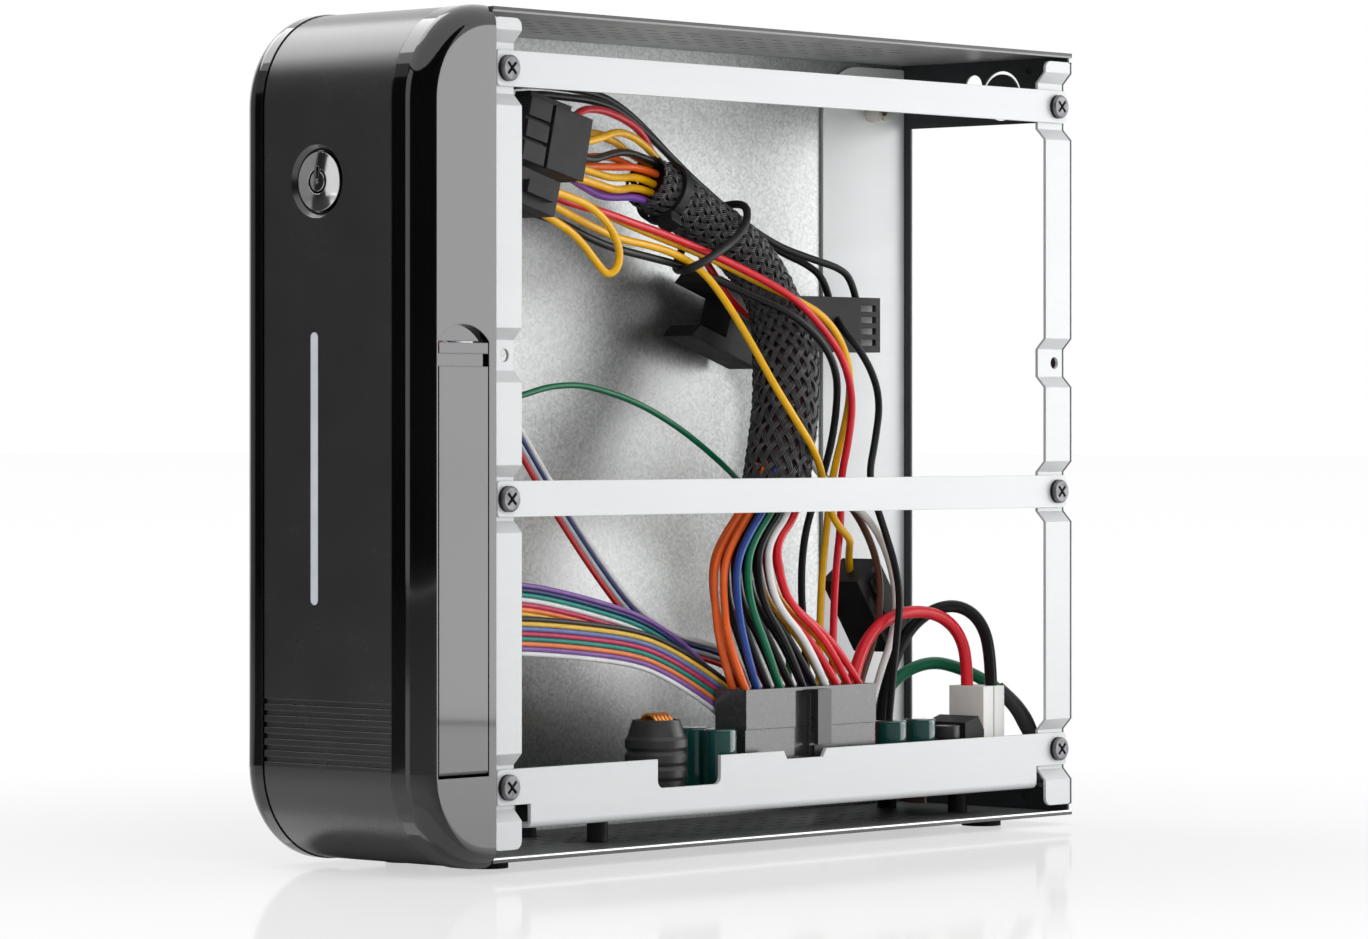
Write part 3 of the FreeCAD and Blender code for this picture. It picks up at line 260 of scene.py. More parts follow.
def finished(name, group, colour, marked, scale, rough, bump=0.1, edge=0.00025, **sockets):
    material = bpy.data.materials.new(name)
    material.use_nodes = True
    tree = material.node_tree
    shader = tree.nodes["Principled BSDF"]
    effect = tree.nodes.new("ShaderNodeGroup")
    effect.node_tree = group
    effect.inputs["Colour"].default_value = (*colour, 1)
    effect.inputs["Marked Colour"].default_value = (*marked, 1)
    effect.inputs["Scale"].default_value = scale
    effect.inputs["Low Roughness"].default_value = rough[0]
    effect.inputs["High Roughness"].default_value = rough[1]
    relief = tree.nodes.new("ShaderNodeBump")
    relief.inputs["Strength"].default_value = bump
    relief.inputs["Distance"].default_value = 0.0001
    wire_up(tree, (effect.outputs["Colour"], shader.inputs["Base Color"]),
            (effect.outputs["Roughness"], shader.inputs["Roughness"]),
            (effect.outputs["Height"], relief.inputs["Height"]), (relief.outputs[0], shader.inputs["Normal"]))
    if edge:
        rounded = tree.nodes.new("ShaderNodeBevel")
        rounded.inputs["Radius"].default_value = edge
        wire_up(tree, (rounded.outputs[0], relief.inputs["Normal"]))
    for label, value in sockets.items():
        shader.inputs[label.replace("_", " ")].default_value = value
    return material


def local_point(tree):
    spot = tree.nodes.new("ShaderNodeTexCoord")
    split = tree.nodes.new("ShaderNodeSeparateXYZ")
    wire_up(tree, (spot.outputs["Object"], split.inputs[0]))
    return split.outputs


def second_finish(material, mask, **values):
    tree = material.node_tree
    shader = tree.nodes["Principled BSDF"]
    for label, value in values.items():
        socket = shader.inputs[label.replace("_", " ")]
        blend = tree.nodes.new("ShaderNodeMix")
        blend.data_type = "RGBA" if label == "Base_Color" else "FLOAT"
        ends = [s for s in blend.inputs if s.enabled and s.name in ("A", "B")]
        if socket.is_linked:
            wire_up(tree, (socket.links[0].from_socket, ends[0]))
        else:
            ends[0].default_value = socket.default_value
        ends[1].default_value = (*value, 1) if label == "Base_Color" else value
        result = [s for s in blend.outputs if s.enabled][0]
        wire_up(tree, (mask, blend.inputs["Factor"]), (result, socket))


def dress(node, material):
    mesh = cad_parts[node].data
    mesh.materials.clear()
    mesh.materials.append(material)


powder_coat = finished("powder_coat", marks, (0.045, 0.045, 0.048), (0.062, 0.062, 0.065), 90, (0.32, 0.42), 0.15)
shell_low, shell_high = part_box("outer_shell")
hem = 0.0011
edge_band = 0.0008
face_slack = 0.00006
face_depth = 0.0003
tree = powder_coat.node_tree
x, y, z = local_point(tree)
# Painted light: the inner faces of the top and bottom sheets are painted lighter grey than the black coat
inner = (shell_high[2] - shell_low[2]) / 2 - edge_band
off_middle = reckon(tree, "SUBTRACT", z, (shell_low[2] + shell_high[2]) / 2)
off_middle_size = reckon(tree, "ABSOLUTE", off_middle, 0)
inner_face_painted_light = reckon(tree, "MULTIPLY", reckon(tree, "LESS_THAN", off_middle_size, inner + face_slack),
                    reckon(tree, "GREATER_THAN", off_middle_size, inner - face_depth))
second_finish(powder_coat, inner_face_painted_light, Base_Color=(0.22, 0.223, 0.225))
# Painted highlight on the hem of the open side, grey on top and bright along the bottom; the outer edge band stays
# black as painted shade
hem_highlight = reckon(tree, "MULTIPLY", reckon(tree, "LESS_THAN", off_middle_size, inner),
                reckon(tree, "GREATER_THAN", x, shell_high[0] - hem))
lower_hem_highlight = reckon(tree, "MULTIPLY", hem_highlight, reckon(tree, "LESS_THAN", off_middle, 0))
second_finish(powder_coat, hem_highlight, Base_Color=(0.22, 0.22, 0.225), Roughness=0.3, Metallic=0.3)
second_finish(powder_coat, lower_hem_highlight, Base_Color=(0.78, 0.79, 0.80), Roughness=0.25, Metallic=0.6)
dress("outer_shell", powder_coat)


# Motherboard tray: a plain hot-dip galvanised sheet, with the crystals of the zinc showing as a fine spangle.
# It lies flat on the far wall of the shell, and carries the brass standoffs for the board.
spangle, start, end = effect_group("zinc_spangle", finish_inputs, finish_outputs)
place = spangle.nodes.new("ShaderNodeTexCoord")
crystals = spangle.nodes.new("ShaderNodeTexVoronoi")
crystals.inputs["Randomness"].default_value = 1.0
ripple = noise(spangle, 6, 0.7)
split = spangle.nodes.new("ShaderNodeSeparateColor")
mixed = spangle.nodes.new("ShaderNodeMix")
mixed.inputs["Factor"].default_value = 0.55
spread = spread_over(spangle, 0.25, 0.75)
wire_up(spangle, (place.outputs["Object"], crystals.inputs["Vector"]),
        (place.outputs["Object"], ripple.inputs["Vector"]),
        (start.outputs["Scale"], crystals.inputs["Scale"]), (start.outputs["Scale"], ripple.inputs["Scale"]),
        (crystals.outputs["Color"], split.inputs[0]), (split.outputs[0], mixed.inputs["A"]),
        (ripple.outputs["Fac"], mixed.inputs["B"]), (mixed.outputs["Result"], spread.inputs["Value"]))
finish_ends(spangle, start, end, spread.outputs[0], ripple.outputs["Fac"])

galvanised = finished("galvanised_sheet", spangle, (0.33, 0.338, 0.335), (0.50, 0.512, 0.508), 1400, (0.34, 0.40),
                      0.05, Metallic=0.9)
dress("motherboard_tray", galvanised)
plated_brass = finished("nickelled_brass", marks, (0.70, 0.68, 0.62), (0.62, 0.60, 0.53), 500, (0.25, 0.4), 0.05,
                        Metallic=0.8)
dress("board_standoffs", plated_brass)


# Front plate, rear panel and crossbars: bright zinc-plated steel, pressed and folded.
# The rolling of the sheet leaves faint streaks, and the rear panel's inner face is painted dark as painted shade.
streaks, start, end = effect_group("rolled_streaks", finish_inputs, finish_outputs)
place = streaks.nodes.new("ShaderNodeTexCoord")
stretch = streaks.nodes.new("ShaderNodeMapping")
stretch.inputs["Scale"].default_value = (1, 0.12, 0.6)
lines = noise(streaks, 6, 0.6)
spread = spread_over(streaks, 0.3, 0.7)
wire_up(streaks, (place.outputs["Object"], stretch.inputs["Vector"]),
        (stretch.outputs[0], lines.inputs["Vector"]),
        (start.outputs["Scale"], lines.inputs["Scale"]), (lines.outputs["Fac"], spread.inputs["Value"]))
finish_ends(streaks, start, end, spread.outputs[0], lines.outputs["Fac"])


def zinc_plate(name):
    return finished(name, streaks, (0.605, 0.62, 0.625), (0.655, 0.67, 0.675), 260, (0.36, 0.48), 0.04,
                    Metallic=0.15)


zinc = zinc_plate("zinc_plate")
for piece in ("chassis_front_plate", "top_crossbar", "middle_crossbar", "bottom_crossbar"):
    dress(piece, zinc)
inside_shaded_zinc = zinc_plate("zinc_with_painted_shade")
tree = inside_shaded_zinc.node_tree
sheet_t = 0.0008
shade_front = 0.0001
shade_back = 0.00055
inner_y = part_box("rear_panel")[1][1] - sheet_t
x, y, z = local_point(tree)
# Painted shade: the inner face of the rear panel is painted near black
inside = reckon(tree, "MULTIPLY", reckon(tree, "GREATER_THAN", y, inner_y - shade_front),
                reckon(tree, "LESS_THAN", y, inner_y + shade_back))
second_finish(inside_shaded_zinc, inside, Base_Color=(0.030, 0.034, 0.037), Roughness=0.5, Metallic=0.0)
dress("rear_panel", inside_shaded_zinc)


# Screws of the bars: pan heads in dark nickel, turned in with a cross driver; the cross and the flank under
# the head are painted black as painted shade. The ground lug and its screw, the hinge pin and the shells of the
# ports are bright steel, turned or stamped.
dark_nickel = finished("dark_nickel", marks, (0.20, 0.20, 0.21), (0.13, 0.13, 0.135), 500, (0.28, 0.42), 0.05,
                       Metallic=0.7)
head_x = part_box("crossbar_screws")[1][0]
shade_depth = 0.0007
tree = dark_nickel.node_tree
# Painted shade: deeper than the top of the head, the cross and the flank are painted black
second_finish(dark_nickel, reckon(tree, "LESS_THAN", local_point(tree)[0], head_x - shade_depth),
              Base_Color=(0.01, 0.01, 0.011), Roughness=0.5)
dress("crossbar_screws", dark_nickel)
bright_steel = finished("bright_steel", marks, (0.62, 0.63, 0.65), (0.5, 0.51, 0.53), 300, (0.22, 0.36), 0.04,
                        Metallic=1.0)
for piece in ("ground_lug", "ground_screw", "door_hinge_pin", "usb_ports"):
    dress(piece, bright_steel)


# Feet: four round rubber pads, moulded with a rough skin.
# They are glued under the shell.
foot_rubber = finished("foot_rubber", marks, (0.02, 0.02, 0.02), (0.035, 0.035, 0.035), 300, (0.7, 0.85), 0.3)
dress("rubber_feet", foot_rubber)


# Power board and the two front boards: fibreglass under green lacquer, on round black spacers.
# A sheet of pressed brown board lies under the power board and keeps it off the steel.
lacquered_board = finished("lacquered_board", marks, (0.015, 0.10, 0.05), (0.03, 0.15, 0.08), 350, (0.3, 0.45),
                           0.15)
for piece in ("power_board", "led_board", "front_io_board"):
    dress(piece, lacquered_board)
pressed_sheet = finished("pressed_sheet", marks, (0.07, 0.038, 0.02), (0.10, 0.058, 0.032), 250, (0.6, 0.75), 0.3)
dress("board_insulator", pressed_sheet)


# Choke and drum: enamelled copper turns standing out of a ribbed black shrink sleeve, and a small wound drum.
# Both stand on the power board, soldered in by their ends.
shrink = finished("shrink_sleeve", marks, (0.02, 0.019, 0.019), (0.04, 0.038, 0.037), 200, (0.32, 0.46), 0.25)
for piece in ("choke_sleeve", "drum_inductor"):
    dress(piece, shrink)
copper = finished("enamelled_copper", marks, (0.95, 0.42, 0.12), (0.85, 0.32, 0.08), 600, (0.16, 0.26), 0.05,
                  Metallic=0.8)
dress("choke_winding", copper)


# Capacitors: aluminium cans in a glossy dark green sleeve, shrunk over the rim at the top.
# They stand on the power board, soldered in by their leads.
green_sleeve = finished("green_sleeve", marks, (0.004, 0.050, 0.046), (0.006, 0.062, 0.056), 120, (0.1, 0.16),
                        0.03, Coat_Weight=1.0, Coat_Roughness=0.03)
for piece in ("left_capacitors", "right_capacitors"):
    dress(piece, green_sleeve)


# Plugs and sockets: black moulded nylon, satin on the big plug, with bright terminals behind the slotted plug's
# windows, and one plug of clear white nylon for the inlet. The headers are soldered to the board, and the plugs
# are pushed on. The spacers, the switch and the audio jacks are of the same black nylon.
satin_moulding = finished("satin_moulding", marks, (0.028, 0.028, 0.029), (0.032, 0.032, 0.034), 220, (0.26, 0.29),
                          0.03, Specular_IOR_Level=1.0, Coat_Weight=0.3, Coat_Roughness=0.26)
tree = satin_moulding.node_tree
latch_height = 0.0021
latch_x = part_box("main_plug")[1][0] - latch_height
# Painted shade: the latch on the big plug is painted near black, for the shadow lines round it
second_finish(satin_moulding, reckon(tree, "GREATER_THAN", local_point(tree)[0], latch_x),
              Base_Color=(0.01, 0.01, 0.011), Roughness=0.5)
for piece in ("main_header", "main_plug"):
    dress(piece, satin_moulding)


def black_nylon(name):
    return finished(name, marks, (0.012, 0.012, 0.013), (0.022, 0.022, 0.024), 220, (0.46, 0.6), 0.15,
                    Specular_IOR_Level=0.3)


black_moulding = black_nylon("black_moulding")
for piece in ("inlet_header", "ribbon_socket", "motherboard_plug", "auxiliary_plug", "drive_plug", "lower_plug",
              "power_switch", "audio_jacks", "board_spacers"):
    dress(piece, black_moulding)
windowed = black_nylon("windowed_moulding")
tree = windowed.node_tree
slotted_low, slotted_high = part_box("slotted_plug")
window_depth = 0.0012
window_y = (0.02345, 0.02925)
window_z = (0.00165, 0.01205)
x, y, z = local_point(tree)
terminals = reckon(tree, "LESS_THAN", x, slotted_high[0] - window_depth)
for value, low, (first, last) in ((y, slotted_low[1], window_y), (z, slotted_low[2], window_z)):
    terminals = reckon(tree, "MULTIPLY", terminals, reckon(tree, "GREATER_THAN", value, low + first))
    terminals = reckon(tree, "MULTIPLY", terminals, reckon(tree, "LESS_THAN", value, low + last))
second_finish(windowed, terminals, Base_Color=(0.88, 0.88, 0.87), Roughness=0.3)
dress("slotted_plug", windowed)
nylon = finished("clear_nylon", marks, (0.86, 0.85, 0.82), (0.90, 0.89, 0.86), 200, (0.35, 0.5), 0.1,
                 Subsurface_Weight=0.2, Subsurface_Scale=0.004)
dress("inlet_plug", nylon)


# Wires: stranded copper in a glossy PVC sleeve, crimped into the plugs and left to hang as they were bent.
# Each is one smooth spline on the route of its solid, shifted a little where the photo shows it to hang otherwise.
def darker(colour):
    return [c * 0.85 for c in colour]


def sleeve_pvc(name, colour, shine=0.5):
    return finished("pvc_" + name, marks, colour, darker(colour), 260, (0.28, 0.4), 0.08, edge=0,
                    Specular_IOR_Level=shine)


pvc = {
    "orange": sleeve_pvc("orange", (0.90, 0.13, 0.012)),
    "blue": sleeve_pvc("blue", (0.012, 0.06, 0.30)),
    "black": sleeve_pvc("black", (0.008, 0.008, 0.009), 0.3),
    "green": sleeve_pvc("green", (0.0, 0.15, 0.065)),
    "red": sleeve_pvc("red", (0.70, 0.006, 0.02)),
    "white": sleeve_pvc("white", (0.80, 0.79, 0.78)),
    "yellow": sleeve_pvc("yellow", (0.90, 0.47, 0.0)),
    "violet": sleeve_pvc("violet", (0.20, 0.06, 0.42)),
    "brown": sleeve_pvc("brown", (0.11, 0.04, 0.02)),
}
wire_d = 0.0019
tucked_in = 0.001


def metres(point):
    return Vector(point) * 0.001


def spline_on(curve, points):
    points = [metres(p) for p in points]
    points[0] += (points[0] - points[1]).normalized() * tucked_in
    points[-1] += (points[-1] - points[-2]).normalized() * tucked_in
    spline = curve.splines.new("NURBS")
    spline.points.add(len(points) - 1)
    for knot, point in zip(spline.points, points):
        knot.co = (*point, 1)
    spline.order_u = 3
    spline.use_endpoint_u = True
    return spline


def round_curve(name, radius, resolution, sides, capped=False):
    curve = bpy.data.curves.new(name, "CURVE")
    curve.dimensions = "3D"
    curve.resolution_u = resolution
    curve.bevel_depth = radius
    curve.bevel_resolution = sides
    curve.use_fill_caps = capped
    return curve


def wire(name, node, points, material, d=wire_d):
    curve = round_curve(name, d / 2, 8, 3, capped=True)
    spline_on(curve, points)
    curve.materials.append(material)
    piece = bpy.data.objects.new(name, curve)
    scene.collection.objects.link(piece)
    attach(piece, "chassis")
    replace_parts(piece, node)


# The fan of wires out of the big plug: two rows of eleven, gathered in four layers at the sleeve's lower end
plug_top = 38.3
sleeve_end = Vector((10.5, 24.0, 88.9))
sleeve_before = Vector((8.0, 29.4, 100.7))
front_row = "orange blue black green black black black white red red red".split()
back_row = "orange orange black red black red black violet yellow yellow yellow".split()
fan_y = [(2.3, 44.3), (-2.2, 37.0), (-2.2, 21.2), (-1.0, 18.4), (4.0, 19.0)]
fan_z = [plug_top, 48.8, 58.2, 67.1, 73.7]
fan_front_x = [19.6, 19.0, 17.9, 16.5, 15.1]
fan_back_x = [15.4, 14.3, 12.6, 11.0, 9.7]
fan_stagger = [0.0, 0.8, 1.15, 1.2, 1.25]
layer = 2.6
straight = 8
out = (sleeve_end - sleeve_before).normalized()
side = (Vector((1, 0, 0)) - out * out.x).normalized()
across = out.cross(side)
if across.y < 0:
    across = -across
for row, fan_x in ((front_row, fan_front_x), (back_row, fan_back_x)):
    near = row is front_row
    for k, colour in enumerate(row):
        odd = k % 2 == 1
        sign = 1 if odd == near else -1
        route = [(fan_x[i] + sign * fan_stagger[i],
                  fan_y[i][0] + (fan_y[i][1] - fan_y[i][0]) * k / (len(row) - 1), fan_z[i])
                 for i in range(len(fan_z))]
        depth = (1.5 if odd else 0.5) * (1 if near else -1)
        end = sleeve_end + side * (depth * layer) + across * ((k // 2 - (2.0 if odd else 2.5)) * layer)
        route += [tuple(end + out * straight), tuple(end)]
        name = "fan_%s_%d_%s" % ("near" if near else "far", k + 1, colour)
        wire(name, "wires_" + colour, route, pvc[colour])

# Wires of the loose plugs: colour, length and route, from plug to plug, to the sleeve or down to the board
loose_wires = [
    ("black", 54, [(17.2, -53.65, 164.7), (15.8, -48.5, 163.6), (11.5, -38.5, 165.4), (5, -25.5, 167.2),
                   (-2, -11, 166.6), (-2.2, -5.6, 165.2)]),
    ("black", 165, [(-1.5, -68.5, 173.5), (-1.5, -65.5, 179.5), (-2.2, -54.5, 182.2), (-3.5, -41.5, 182.4),
                    (-5.5, -29, 182), (-8.5, -17, 181), (-13.5, -3.5, 178), (-19, 11, 173), (-22.5, 23.5, 167),
                    (-23.5, 34, 160.5), (-23.5, 48.5, 152.5), (-22, 61.5, 146), (-19.5, 70, 142.8), (-18, 75, 139),
                    (-18, 76.5, 134.5)]),
    ("black", 165, [(3.5, -65.5, 173.5), (3.3, -62, 178.6), (2, -51.5, 179.8), (0.5, -41, 179.6),
                    (-1.5, -29.5, 179.5), (-4.5, -17, 178), (-10, -2.5, 174), (-16, 13, 169), (-18.5, 26, 162.5),
                    (-19, 42, 154), (-17.5, 55, 147.3), (-15.5, 67, 144), (-14.5, 76.5, 142), (-14.5, 81.5, 139),
                    (-14.5, 83, 134.5)]),
    ("black", 230, [(11.5, -65.15, 151.5), (9.5, -51.5, 149.5), (8, -42, 146.5), (6.5, -31, 144), (4.5, -18, 142.5),
                    (3, -2.5, 140.5), (4, 8.5, 137.5), (7.5, 18, 133.5), (11.5, 28, 129.5), (12.5, 38.5, 123),
                    (9.5, 48, 115), (4, 54, 105.5), (2, 54, 96), (0.5, 51.5, 86.5), (-3.5, 50.5, 75.5),
                    (-4, 49.5, 63), (-2.5, 49, 50.5), (-0.5, 48, 38.5), (1.2, 47, 26.5), (2.5, 46.5, 14.5)]),
    ("black", 124, [(-12.5, 73.5, 128.5), (-9, 71.5, 126), (-7, 76, 121), (-6, 80.5, 114), (-5.5, 82, 107),
                    (-4.5, 79, 98), (-2.5, 74, 89), (0.5, 73.5, 81.5), (4, 72.5, 75.5), (8.5, 71.5, 66.5),
                    (10.5, 71, 58), (11, 69, 48.5), (11.5, 66.5, 36), (11, 65.5, 25), (11.5, 65, 14.5)]),
    ("orange", 52, [(15.5, -53.65, 162.3), (9.5, -39, 162.9), (3, -27, 163.4), (-1.9, -12.5, 164.2),
                    (-2.2, -6.6, 162.8)]),
    ("orange", 51, [(13, -53.65, 164.2), (7, -39.5, 165.2), (0, -25, 166.2), (-4.3, -15.2, 165.2),
                    (-4.8, -6.6, 162.8)]),
    ("yellow", 51, [(17.5, -53.65, 161.9), (12.5, -42.5, 161), (7, -30.5, 160.4), (-1.9, -12.5, 161.9),
                    (-2.2, -7.5, 160.4)]),
    ("yellow", 50, [(17.5, -53.65, 159.3), (14, -43.5, 158.4), (9, -32, 157.4), (-1.9, -12.8, 159.4),
                    (-2.2, -8.4, 158.2)]),
    ("yellow", 134, [(17.5, -53.65, 167.5), (15, -44, 169), (10.5, -33.5, 171.5), (3.5, -20, 171),
                     (-4.5, -5.5, 168.5), (-11.5, 8, 164.5), (-12.5, 18, 157.5), (-12.8, 25, 149),
                     (-11.8, 31, 141.5), (-11, 39, 135.5), (-12.5, 49.5, 132.3), (-16, 59.35, 131.5)]),
    ("yellow", 53, [(15.5, -53.65, 169.5), (11, -41, 171), (5.5, -31, 169.8), (-1, -20.5, 169.4),
                    (-4.4, -14.4, 167.8), (-4.8, -5.6, 165.2)]),
    ("yellow", 68, [(19.5, -65.15, 156), (18.5, -55, 154.5), (17.5, -47, 151.5), (16.5, -41, 147.5),
                    (15.5, -37.5, 142.5), (15, -38, 138.5), (14, -40.5, 137), (13.5, -43.5, 140), (13.5, -49, 145),
                    (14, -55.5, 148.5), (15, -65.15, 151.5)]),
    ("yellow", 185, [(17, -65.15, 154), (14.5, -53.5, 151), (10.5, -41.5, 148.5), (7.5, -29, 146),
                     (5.5, -16.5, 145), (5, -6, 143), (6, 2.5, 139), (8.5, 8, 131.5), (13, 12, 121.5),
                     (16.8, 15.5, 112), (18.5, 22.5, 102.5), (18.9, 29.5, 94.5), (15, 37, 85.5), (10, 46, 78),
                     (6.4, 56.5, 73.5), (0.5, 63, 71), (-4, 68, 68.3), (-7.5, 72.5, 65.1)]),
    ("yellow", 232, [(11.3, -65.15, 156.6), (11, -57, 156.4), (9.8, -47, 155), (8, -35, 152), (6, -24, 149.5),
                     (4.5, -13, 147.2), (4, 0, 144.3), (4, 11, 141.3), (5, 22, 137.4), (7, 33, 133.5),
                     (9.5, 43.5, 128.8), (8.5, 52.5, 120.5), (5, 58.5, 110.5), (2, 58.8, 99.5), (0, 57, 89),
                     (-1.5, 57, 78.5), (-2, 55.5, 65.5), (-1.5, 54, 52.5), (-0.5, 52.5, 39.5), (0.2, 51.5, 26.5),
                     (0.5, 51, 14.5)]),
    ("violet", 50, [(15, -53.65, 159.3), (11, -44, 157.2), (5.5, -32, 155.8), (-1.9, -13, 157),
                    (-2.2, -9.3, 156)]),
    ("red", 50, [(12.5, -53.65, 161), (6, -39.5, 158.4), (0, -26.5, 157.6), (-4.4, -15.7, 158.6),
                 (-4.8, -8.9, 157.4)]),
    ("red", 137, [(13, -53.65, 172), (9.5, -45.5, 176), (4.5, -33.5, 177), (-0.5, -21, 176), (-6, -7.5, 173.5),
                  (-13, 5, 168), (-17, 13, 160), (-16.5, 18.5, 150.5), (-12.8, 24, 142.5), (-11, 30, 133.5),
                  (-10.8, 39, 128.3), (-11.8, 49.5, 126), (-15.5, 59.35, 125.5)]),
    ("red", 231, [(15, -65.15, 156.5), (14, -57, 154.5), (12.5, -48, 153.2), (11.5, -38.5, 152), (9, -26.5, 150),
                  (7, -14, 148), (6, -1, 145), (6, 10, 142), (8, 22, 137.5), (10, 32.5, 132.5), (10, 43, 125),
                  (8.5, 52, 117.5), (6.5, 57.5, 108), (5, 57.5, 98), (3.5, 56, 88), (2.5, 57.5, 78), (2, 56, 65.5),
                  (2.5, 54.5, 52.5), (3.5, 53, 39.5), (4.3, 52, 26.5), (4.5, 51.5, 14.5)]),
    ("white", 128, [(-15.5, 47.35, 124.5), (-16.2, 52.5, 121.5), (-17.5, 59.5, 116), (-17.5, 63, 107.5),
                    (-15.5, 63, 98), (-12.5, 66, 89.5), (-8, 71, 83.5), (-1.5, 74, 77.5), (3, 75.3, 69),
                    (4.5, 76.8, 58.5), (4.5, 75.2, 48.5), (4.2, 70, 38.5), (4, 66, 27), (4, 65, 14.5)]),
    ("brown", 130, [(-19, 47.35, 124.5), (-20.2, 54, 121.5), (-21.5, 64, 116.5), (-21.5, 68, 108), (-19.5, 68, 98),
                    (-16.5, 70.5, 90.5), (-12.5, 74.5, 84.5), (-6, 75, 78), (0, 74.5, 68), (1.2, 74.5, 57.5),
                    (1.2, 72, 48), (1, 67, 38), (1, 63, 27), (1, 62, 14.5)]),
]
for number, (colour, length, route) in enumerate(loose_wires, 1):
    wire("wire_%02d_%s" % (number, colour), "wires_" + colour, route, pvc[colour])

# Thick leads of the inlet plug and the ground, and the thin green lead from the lamp board
thick_d = 0.0032
thin_d = 0.0015
wire("inlet_lead_near", "inlet_lead_red",
     [(7.5, 54.6, 14.5), (7.5, 54.3, 21), (7.2, 54.6, 28.5), (7, 56, 36), (6.5, 59.5, 43.5), (6.5, 63.5, 49),
      (6.5, 69.5, 52.8), (7.5, 76, 54.7), (8.5, 83.5, 54.7), (9.5, 90, 52.8), (10.8, 94.2, 48.6),
      (12.2, 95.2, 42.5), (13, 94.35, 35.8)], pvc["red"], thick_d)
wire("inlet_lead_far", "inlet_lead_black",
     [(0.5, 74.5, 14.5), (0.5, 74.7, 22), (0.6, 75.5, 30), (1, 77.5, 38), (2, 80.5, 45.5), (3.5, 84.5, 51.5),
      (6.5, 90, 55.5), (10, 95.2, 56), (14, 98.3, 52.5), (17, 98.8, 45), (18, 97.85, 35.8)],
     pvc["black"], thick_d)
wire("earth_lead", "ground_lead",
     [(-5.5, 76, 14.5), (-5.3, 76.3, 22), (-4.8, 79, 30), (-3.5, 84.5, 36.5), (-2, 90.5, 40), (0, 97, 41.3),
      (3, 102, 40), (7, 106, 37.5), (12, 109, 34), (16.6, 111, 28.8), (20.0, 112.0, 22.5)],
     pvc["green"], thick_d)
wire("lamp_lead", "green_lead",
     [(-0.5, -104.55, 102.5), (-0.7, -87.5, 103.3), (-0.3, -70, 105.5), (-0.5, -53.5, 109), (-0.5, -45, 111),
      (-0.5, -35, 111.5), (-0.5, -25.5, 110), (-1, -13, 107), (-1.5, 0, 102), (-2, 12, 96), (-3, 25, 88.5),
      (-4, 35.5, 80.5), (-7, 44.5, 70), (-7.7, 47.8, 60), (-7.3, 48.5, 49), (-6.5, 48, 37.5), (-6, 47.5, 26),
      (-6, 47, 14.5)], pvc["green"], thin_d)


# Ribbon cables: thin leads bonded side by side in a flat strip, each with its own colour.
# They are soldered to the front boards and pressed into the socket on the power board.
def drawn_line(points):
    curve = round_curve("line", 0, 24, 0)
    spline_on(curve, points)
    holder = bpy.data.objects.new("line", curve)
    mesh = bpy.data.meshes.new_from_object(holder)
    line = [v.co.copy() for v in mesh.vertices]
    bpy.data.objects.remove(holder)
    bpy.data.curves.remove(curve)
    bpy.data.meshes.remove(mesh)
    return line


def curve_piece(name, curve):
    holder = bpy.data.objects.new(name, curve)
    mesh = bpy.data.meshes.new_from_object(holder)
    bpy.data.objects.remove(holder)
    mesh.polygons.foreach_set("use_smooth", [True] * len(mesh.polygons))
    piece = bpy.data.objects.new(name, mesh)
    scene.collection.objects.link(piece)
    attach(piece, "chassis")
    return piece


strand = {
    "black": (0.014, 0.014, 0.015), "yellow": (0.80, 0.50, 0.06), "blue": (0.13, 0.18, 0.42),
    "magenta": (0.55, 0.03, 0.10), "teal": (0.0, 0.24, 0.19), "orange": (0.85, 0.22, 0.07),
    "violet": (0.22, 0.10, 0.36), "white": (0.78, 0.77, 0.78), "navy": (0.012, 0.022, 0.12),
    "grey": (0.45, 0.48, 0.52), "red": (0.58, 0.015, 0.02),
}
bonded = {name: finished("strand_" + name, marks, colour, darker(colour), 300, (0.34, 0.46), 0.08, edge=0)
          for name, colour in strand.items()}
strand_r = 0.53


def ribbon(name, node, x, lean, width, colours, points):
    colours = colours.split()
    pitch = width / len(colours)
    first = Vector((x, points[0][0], points[0][1]))
    turn = Matrix.Rotation(math.radians(lean), 3, "Z")
    middle = [first + turn @ (Vector((x, y, z)) - first) for y, z in points]
    curve = round_curve(name, pitch * strand_r * 0.001, 8, 2)
    for colour in colours:
        curve.materials.append(bonded[colour])
    for k in range(len(colours)):
        rise = ((len(colours) - 1) / 2 - k) * pitch
        route = []
        for i, point in enumerate(middle):
            run = middle[min(i + 1, len(middle) - 1)] - middle[max(i - 1, 0)]
            route.append(point + Vector((0, -run.z, run.y)).normalized() * rise)
        spline_on(curve, route).material_index = k
    piece = curve_piece(name, curve)
    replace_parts(piece, node)
    drawn_line(middle)


ribbon("striped_ribbon_wide", "ribbon_wide", 10.8, 0, 9.3,
       "black yellow blue magenta teal orange violet white",
       [(-96.65, 53.2), (-80, 53.1), (-66, 52.9), (-46, 51.3), (-26.4, 48.9), (-14.8, 45.1), (-3, 39.7), (7, 34.2),
        (13, 30.2), (18, 28.8)])
ribbon("striped_ribbon_middle", "ribbon_middle", 10.8, 2.2, 7.9,
       "violet navy teal white magenta orange yellow",
       [(-96.65, 61.8), (-80, 61.9), (-64.7, 61.4), (-51.4, 59.4), (-35.8, 56.2), (-23.4, 53.2), (-12, 48.5),
        (-1, 41.8), (9, 33.5), (18, 28.8)])
ribbon("striped_ribbon_narrow", "ribbon_narrow", 2.0, 0, 5.0, "white navy grey red",
       [(-104.55, 126), (-92, 126), (-78, 119.5), (-66, 108.3), (-57, 97.4), (-50, 88.8), (-41.3, 78.9),
        (-30.2, 67.1), (-19.4, 57), (-9.8, 51.7), (0, 48.2), (11, 46), (20, 42.5), (22.5, 34)])
